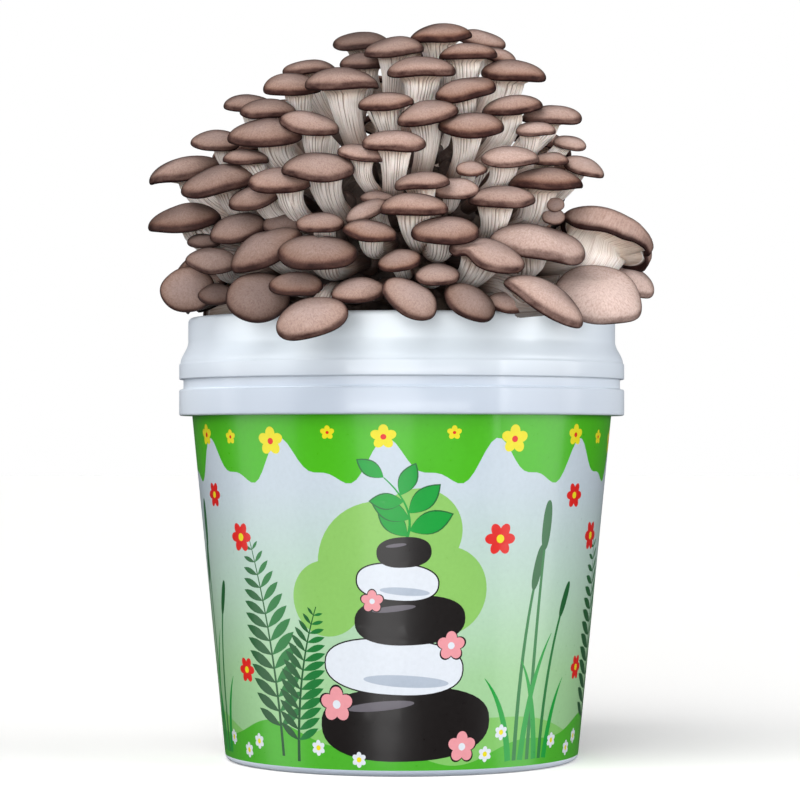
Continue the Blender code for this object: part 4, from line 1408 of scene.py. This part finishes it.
def flowers(colour, petals, start, fill, heart, share, corners):
    shapes = []
    for x, y, radius in FLOWER_PLACES[colour]:
        if colour == "pink":
            edge = blossom((x, y), radius * 1.12, petals, start, fill)
            shapes += [("ink", petal) for petal in edge]
        shapes += [(colour, petal) for petal in blossom((x, y), radius, petals, start, fill)]
        shapes.append((heart, round_spot((x, y), radius * share, corners)))
    return shapes


def picture():
    """The shapes from the lowest to the topmost, as (colour, outline)."""
    shapes = [
        ("hill_far", wavy_band((24.0, (8.0, 3, -0.6), (3.5, 6, 1.2)), LABEL_BOTTOM)),
        ("hill", wavy_band((15.0, (7.0, 3, 2.4), (3.0, 9, 0.5)), LABEL_BOTTOM)),
        ("border", wavy_band((147.0, (9.0, 12, 0.6), (4.0, 24, 1.9)), LABEL_TOP)),
    ]
    shapes += [("pale_leaf", round_spot((x, y), radius, 48)) for x, y, radius in CLOUD]
    for row in FERNS:
        shapes += fern(*row)
    for x, *sizes in REEDS:
        shapes += reed((x, 6), *sizes)
    shapes += [blade(*row) for row in BLADES]
    shapes += twig()
    for row in STONES:
        shapes += stone(*row)
    for row in FLOWERS:
        shapes += flowers(*row)
    return shapes


def inside(points, outline):
    """Which of the points lie inside the outline: a ray from them meets its edges an odd number
    of times."""
    one = np.asarray(outline)
    other = np.roll(one, -1, axis=0)
    x, y = points[:, :1], points[:, 1:]
    rise = other[:, 1] - one[:, 1]
    slope = (other[:, 0] - one[:, 0]) / np.where(rise == 0.0, 1.0, rise)
    crosses = (one[:, 1] > y) != (other[:, 1] > y)
    return (crosses & (x < one[:, 0] + (y - one[:, 1]) * slope)).sum(axis=1) % 2 == 1


def label_triangles():
    """Triangles of one third of the label, in its own plane, and the colour's place of each."""
    shapes = picture()
    columns = np.linspace(-THIRD / 2, THIRD / 2, LABEL_COLUMNS + 1)
    rows = np.linspace(LABEL_BOTTOM, LABEL_TOP, LABEL_ROWS + 1)
    verts = [Vector((float(u), float(v))) for v in rows for u in columns]
    top = LABEL_ROWS * len(columns)
    edges = []
    for i in range(LABEL_COLUMNS):
        edges += [(i, i + 1), (top + i, top + i + 1)]
    for _, outline in shapes:
        first, count = len(verts), len(outline)
        verts += [Vector((float(u), float(v))) for u, v in outline]
        edges += [(first + i, first + (i + 1) % count) for i in range(count)]
    found = delaunay_2d_cdt(verts, edges, [], 0, 1e-4, True)
    points = np.array([tuple(point) for point in found[0]])
    faces = np.array([tuple(face) for face in found[2] if len(face) == 3])
    corners = points[faces]
    one, two = corners[:, 1] - corners[:, 0], corners[:, 2] - corners[:, 0]
    kept = 0.5 * np.abs(one[:, 0] * two[:, 1] - two[:, 0] * one[:, 1]) > SMALLEST_AREA
    middles = corners[kept].mean(axis=1)
    names = list(PRINT_COLOURS)
    colour = np.zeros(len(middles), int)
    for name, outline in shapes:
        colour[inside(middles, outline)] = names.index(name)
    return points, faces[kept], colour


def on_wall(points):
    """Places the label's points on the pail's wall."""
    angle, height = points[:, 0] / UNROLL_RADIUS, points[:, 1] * MM
    radius = wall_radius(height)
    return np.stack([radius * np.sin(angle), -radius * np.cos(angle), height], axis=-1)


# ------------------------------------------------------------------------------------------
# Pail and collar lid, turned finely

FINE_SIDES = 3 * LABEL_COLUMNS
SHARP = 50  # degrees between faces


def arc(centre, radius, start, end, steps):
    """Points of an arc in the outline's plane, from one angle to another in degrees."""
    points = []
    for i in range(steps + 1):
        angle = math.radians(start + (end - start) * i / steps)
        points.append((centre[0] + radius * math.cos(angle), centre[1] + radius * math.sin(angle)))
    return points


def wall_radius(height):
    """Outer radius of the pail's tapered wall at a height."""
    return FOOT_RADIUS + (WALL_TOP_RADIUS - FOOT_RADIUS) * height / BAND_BOTTOM


def rounded(corners, steps=4):
    """An outline from corners of (radius, height, rounding), each cut off by a curve between its
    two tangent points."""
    found = []
    spots = [Vector(corner[:2]) for corner in corners]
    for i, here in enumerate(spots):
        if corners[i][2] == 0.0:
            found.append(tuple(here))
            continue
        one, two = spots[i - 1] - here, spots[(i + 1) % len(spots)] - here
        reach = min(corners[i][2], one.length * 0.48, two.length * 0.48)
        start, end = here + one.normalized() * reach, here + two.normalized() * reach
        found += curve_points(start, here, end, steps)
    return found


def smooth_step(start, end, steps):
    """An S-shaped slope from one outline point to another, upright at both of its ends."""
    found = []
    for i in range(steps + 1):
        t = i / steps
        ease = t * t * (3 - 2 * t)
        found.append((start[0] + (end[0] - start[0]) * ease, start[1] + (end[1] - start[1]) * t))
    return found


def turned_faces(outline, sides):
    """Points and face arrays of an outline turned about Z. Where it meets the axis, it closes."""
    points, rows = [], []
    for radius, height in outline:
        if radius == 0.0:
            rows.append(np.full(sides, len(points)))
            points.append((0.0, 0.0, height))
            continue
        rows.append(len(points) + np.arange(sides))
        for i in range(sides):
            angle = 2 * math.pi * (i - sides / 6) / sides
            points.append((radius * math.sin(angle), -radius * math.cos(angle), height))
    quads, triangles = [], []
    for low, high in zip(rows, rows[1:]):
        low_next, high_next = np.roll(low, -1), np.roll(high, -1)
        if (low == low[0]).all():
            triangles.append(np.stack([low, high_next, high], axis=-1))
        elif (high == high[0]).all():
            triangles.append(np.stack([low, low_next, high], axis=-1))
        else:
            quads.append(np.stack([low, low_next, high_next, high], axis=-1))
    return np.array(points), [np.concatenate(part) for part in (quads, triangles) if part]


def moulding_outlines():
    """The pail's outline from its label down to the axis, and from its label up over the rim and
    down inside."""
    corner = (wall_radius(FOOT_CORNER) - FOOT_CORNER, FOOT_CORNER)
    lower = [*arc(corner, FOOT_CORNER, 0, -90, 6), (FOOT_RADIUS - 9 * MM, 0.0)]
    lower += [(FOOT_RADIUS - 10.5 * MM, 0.6 * MM), (0.0, 0.6 * MM)]
    inner = WALL_TOP_RADIUS - WALL
    upper = (
        (WALL_TOP_RADIUS, BAND_BOTTOM, 0.0),
        (WALL_TOP_RADIUS + 0.8 * MM, BAND_BOTTOM - 0.05 * MM, 0.4 * MM),
        (BAND_RADIUS, BAND_BOTTOM, 1.2 * MM),
        (BAND_RADIUS, BAND_TOP, 1.7 * MM),
        (NECK_RADIUS, BAND_TOP, 1.0 * MM),
        (NECK_RADIUS, NECK_TOP, 1.0 * MM),
        (WALL_TOP_RADIUS, NECK_TOP + 2 * WALL, 1.0 * MM),
        (WALL_TOP_RADIUS, RIM_TOP, 0.7 * MM),
        (inner, RIM_TOP, 0.7 * MM),
        (inner, BAND_BOTTOM, 1.0 * MM),
        (FOOT_RADIUS - WALL, WALL, 2 * MM),
        (0.0, WALL, 0.0),
    )
    return lower, rounded(upper)


def add_pail(plastic):
    """The pail's moulding, with the label's shapes as the faces of its wall."""
    materials = [plastic]
    for name, code in PRINT_COLOURS.items():
        stops = [(place, ink(shade)) for place, shade in FADES.get(name, ())]
        materials.append(print_material(name, ink(code), stops))
    label, label_faces, colours = label_triangles()
    points, faces, slots = [], [], []
    offset = 0
    for k in range(3):
        points.append(on_wall(label + np.array([k * THIRD, 0.0])))
        faces.append(label_faces + offset)
        slots.append(colours + 1)
        offset += len(label)
    for outline, order in zip(moulding_outlines(), (-1, 1)):
        cloud, parts = turned_faces(outline, FINE_SIDES)
        points.append(cloud)
        faces += [part[:, ::order] + offset for part in parts]
        slots += [np.zeros(len(part)) for part in parts]
        offset += len(cloud)
    piece = mesh_object("pail_with_picture", np.concatenate(points), faces, materials, slots)
    weld(piece, SHARP)
    finish_piece(piece, "pail")


def add_collar(plastic):
    """The lid's skirt, its S-shaped shoulder, its lip, and the channel over the pail's rim."""
    inner, leg = LIP_RADIUS - COLLAR_WALL, WALL_TOP_RADIUS - WALL - 2 * GAP
    edge, bead, lip = 0.6 * MM, 1.2 * MM, 2.2 * MM
    shoulder = (SKIRT_RADIUS - edge, SKIRT_TOP - 1.0 * MM), (LIP_RADIUS, SHOULDER_TOP + 1.5 * MM)
    outline = [
        (SKIRT_RADIUS - COLLAR_WALL, SKIRT_BOTTOM),
        *arc((SKIRT_RADIUS - edge, SKIRT_BOTTOM + edge), edge, -90, 0, 4),
        *arc((SKIRT_RADIUS - bead, SKIRT_TOP - 2.0 * MM), bead, 0, 30, 3),
        *smooth_step(*shoulder, 12),
        *arc((LIP_RADIUS - lip, LIP_TOP - lip), lip, 0, 90, 6),
        *arc((leg - COLLAR_WALL + bead, LIP_TOP - bead), bead, 90, 180, 4),
        (leg - COLLAR_WALL, INNER_LEG_BOTTOM),
        (leg, INNER_LEG_BOTTOM),
        (leg, RIM_TOP + GAP * 2),
        (inner, RIM_TOP + GAP * 2),
        (inner, SHOULDER_TOP),
        (SKIRT_RADIUS - COLLAR_WALL, SKIRT_TOP),
        (SKIRT_RADIUS - COLLAR_WALL, SKIRT_BOTTOM),
    ]
    piece = mesh_object("collar_with_lip", *turned_faces(outline, FINE_SIDES), [plastic])
    weld(piece, SHARP)
    finish_piece(piece, "collar_lid")


# ------------------------------------------------------------------------------------------
# Growing medium and the cluster's base

MEDIUM_RINGS, MEDIUM_SIDES = 26, 160
CRUMB_SCALE, CRUMB_SIZE = 90.0, 1.6 * MM
BASE_RINGS, BASE_SIDES = 70, 140
LUMP_SCALE, LUMP_SIZE = 7.0, 0.03  # of its broad lumps, for a radius of 1
CELL_SCALE, CELL_SIZE = 9.0, 0.07  # of the round knobs on it


def add_medium(material):
    """The block inside the pail, with a crumbly top."""
    outline = medium_outline()[:-2]
    for i in range(MEDIUM_RINGS):
        outline.append((MEDIUM_TOP_RADIUS * (1 - i / MEDIUM_RINGS), MEDIUM_TOP - 0.4 * MM))
    outline.append((0.0, MEDIUM_TOP))
    points, faces = turned_faces(outline, MEDIUM_SIDES)
    for i in np.flatnonzero(points[:, 2] > MEDIUM_TOP - 1 * MM):
        x, y = points[i, :2] * CRUMB_SCALE
        crumb = mathutils_noise.fractal(Vector((x + 3.0, y - 3.0, 3.0)), 0.8, 2.0, 4)
        points[i, 2] = MEDIUM_TOP - 1.2 * MM + CRUMB_SIZE * crumb
    piece = mesh_object("crumbly_growing_medium", points, faces, [material])
    weld(piece)
    finish_piece(piece, "growing_medium")


def add_base(material):
    """The fused foot of the cluster, with the lumps of stems that never grew."""
    floor = MEDIUM_TOP + GAP
    low = math.asin((floor - BASE_CENTRE.z) / BASE_RADII.z)
    points = []
    for i in range(BASE_RINGS):
        angle = low + (math.pi / 2 - low) * (i + 0.5) / BASE_RINGS
        flat, high = math.cos(angle), math.sin(angle)
        for k in range(BASE_SIDES):
            turn = 2 * math.pi * k / BASE_SIDES
            direction = Vector((flat * math.cos(turn), flat * math.sin(turn), high))
            lump = mathutils_noise.fractal(direction * LUMP_SCALE, 0.7, 2.0, 4)
            cell = mathutils_noise.voronoi(direction * CELL_SCALE)[0][0]
            grow = 1.0 - LUMP_SIZE + LUMP_SIZE * lump + CELL_SIZE * max(0.0, 0.5 - cell)
            place = BASE_CENTRE + direction * BASE_RADII * grow
            points.append((place.x, place.y, max(floor, place.z)))
    points += [(0.0, 0.0, floor), (0.0, 0.0, BASE_CENTRE.z + BASE_RADII.z * 0.98)]
    faces = closed_faces(BASE_RINGS, BASE_SIDES)
    piece = mesh_object("fused_cluster_base", points, faces, [material])
    weld(piece)
    finish_piece(piece, "cluster_base")


# ------------------------------------------------------------------------------------------
# Stage, lights and camera

MIDDLE = (0.0, 0.0, 0.2)
VIEW_ACROSS, VIEW_AIM = -0.85 * MM, 178.5 * MM


def add_stage():
    bm = bmesh.new()
    bmesh.ops.create_circle(bm, cap_ends=True, segments=64, radius=12.0)
    bmesh.ops.translate(bm, verts=bm.verts, vec=(0.0, 0.0, -0.05 * MM))
    mesh = bpy.data.meshes.new("studio_floor")
    bm.to_mesh(mesh)
    bm.free()
    floor = bpy.data.objects.new("studio_floor", mesh)
    bpy.context.scene.collection.objects.link(floor)
    nodes = Nodes("pale_floor")
    nodes.surface(Base_Color=(0.95, 0.95, 0.95), Roughness=0.9, Specular_IOR_Level=0.1)
    nodes.surface(Emission_Color=(1.0, 1.0, 1.0), Emission_Strength=0.26)
    mesh.materials.append(nodes.material)
    floor.visible_diffuse = floor.visible_glossy = False


def add_world():
    """Pale light from all round, and plain white where the camera sees past the floor."""
    world = bpy.data.worlds.new("studio")
    world.use_nodes = True
    tree = world.node_tree
    dim, bright = tree.nodes["Background"], tree.nodes.new("ShaderNodeBackground")
    dim.inputs["Color"].default_value = (0.96, 0.98, 1.0, 1.0)
    dim.inputs["Strength"].default_value = 0.08
    bright.inputs["Color"].default_value = (1.0, 1.0, 1.0, 1.0)
    path, mix = tree.nodes.new("ShaderNodeLightPath"), tree.nodes.new("ShaderNodeMixShader")
    tree.links.new(path.outputs["Is Camera Ray"], mix.inputs[0])
    tree.links.new(dim.outputs[0], mix.inputs[1])
    tree.links.new(bright.outputs[0], mix.inputs[2])
    tree.links.new(mix.outputs[0], tree.nodes["World Output"].inputs[0])
    bpy.context.scene.world = world


def add_lamp(name, light, place, aim):
    lamp = bpy.data.objects.new(name, light)
    lamp.location = place
    lamp.rotation_euler = (Vector(aim) - Vector(place)).to_track_quat("-Z", "Y").to_euler()
    bpy.context.scene.collection.objects.link(lamp)


def add_sun(name, place, power, spread, colour=(1.0, 1.0, 1.0)):
    light = bpy.data.lights.new(name, "SUN")
    light.energy, light.angle, light.color = power, math.radians(spread), colour
    add_lamp(name, light, place, MIDDLE)


def add_panel(name, place, aim, power, wide, tall):
    light = bpy.data.lights.new(name, "AREA")
    light.energy, light.shape = power, "RECTANGLE"
    light.size, light.size_y = wide, tall
    add_lamp(name, light, place, aim)


def add_studio():
    add_world()
    add_sun("key", (-0.8, -1.25, 1.8), 2.05, 55, (1.0, 0.985, 0.96))
    add_sun("front", (-0.25, -1.5, 0.25), 2.1, 40)
    add_sun("left", (-1.5, -0.25, 0.33), 1.7, 50)
    add_sun("right", (1.5, -0.32, 0.33), 2.7, 50)
    add_panel("strip", (1.05, -0.85, 0.30), (0, 0, 0.12), 3.4, 0.10, 0.9)
    add_panel("rim_fill", (0.05, -0.80, 0.13), (0, 0, 0.225), 2.5, 0.9, 0.08)
    scene = bpy.context.scene
    scene.view_settings.view_transform = "Standard"
    camera = bpy.data.objects.new("camera", bpy.data.cameras.new("camera"))
    camera.data.lens, camera.data.sensor_width = 135.0, 36.0
    camera.location = (VIEW_ACROSS, -VIEW_DISTANCE, VIEW_HEIGHT)
    aim = Vector((VIEW_ACROSS, 0.0, VIEW_AIM))
    camera.rotation_euler = (aim - camera.location).to_track_quat("-Z", "Y").to_euler()
    scene.collection.objects.link(camera)
    scene.camera = camera


def main():
    add_stage()
    add_studio()
    base = BVHTree.FromBMesh(base_bmesh())
    collar = BVHTree.FromBMesh(turned(collar_outline(), ROUND_SIDES))
    medium = BVHTree.FromBMesh(turned(medium_outline(), ROUND_SIDES))
    plastic = plastic_material()
    add_pail(plastic)
    add_collar(plastic)
    add_medium(medium_material())
    add_base(base_material())
    skins = [cap_material(), flesh_material()]
    number = 0
    for name, (members, foot) in grow_cluster(base, (base, collar, medium)).items():
        add_mushrooms(name, members, foot, number, skins)
        number += len(members)


main()
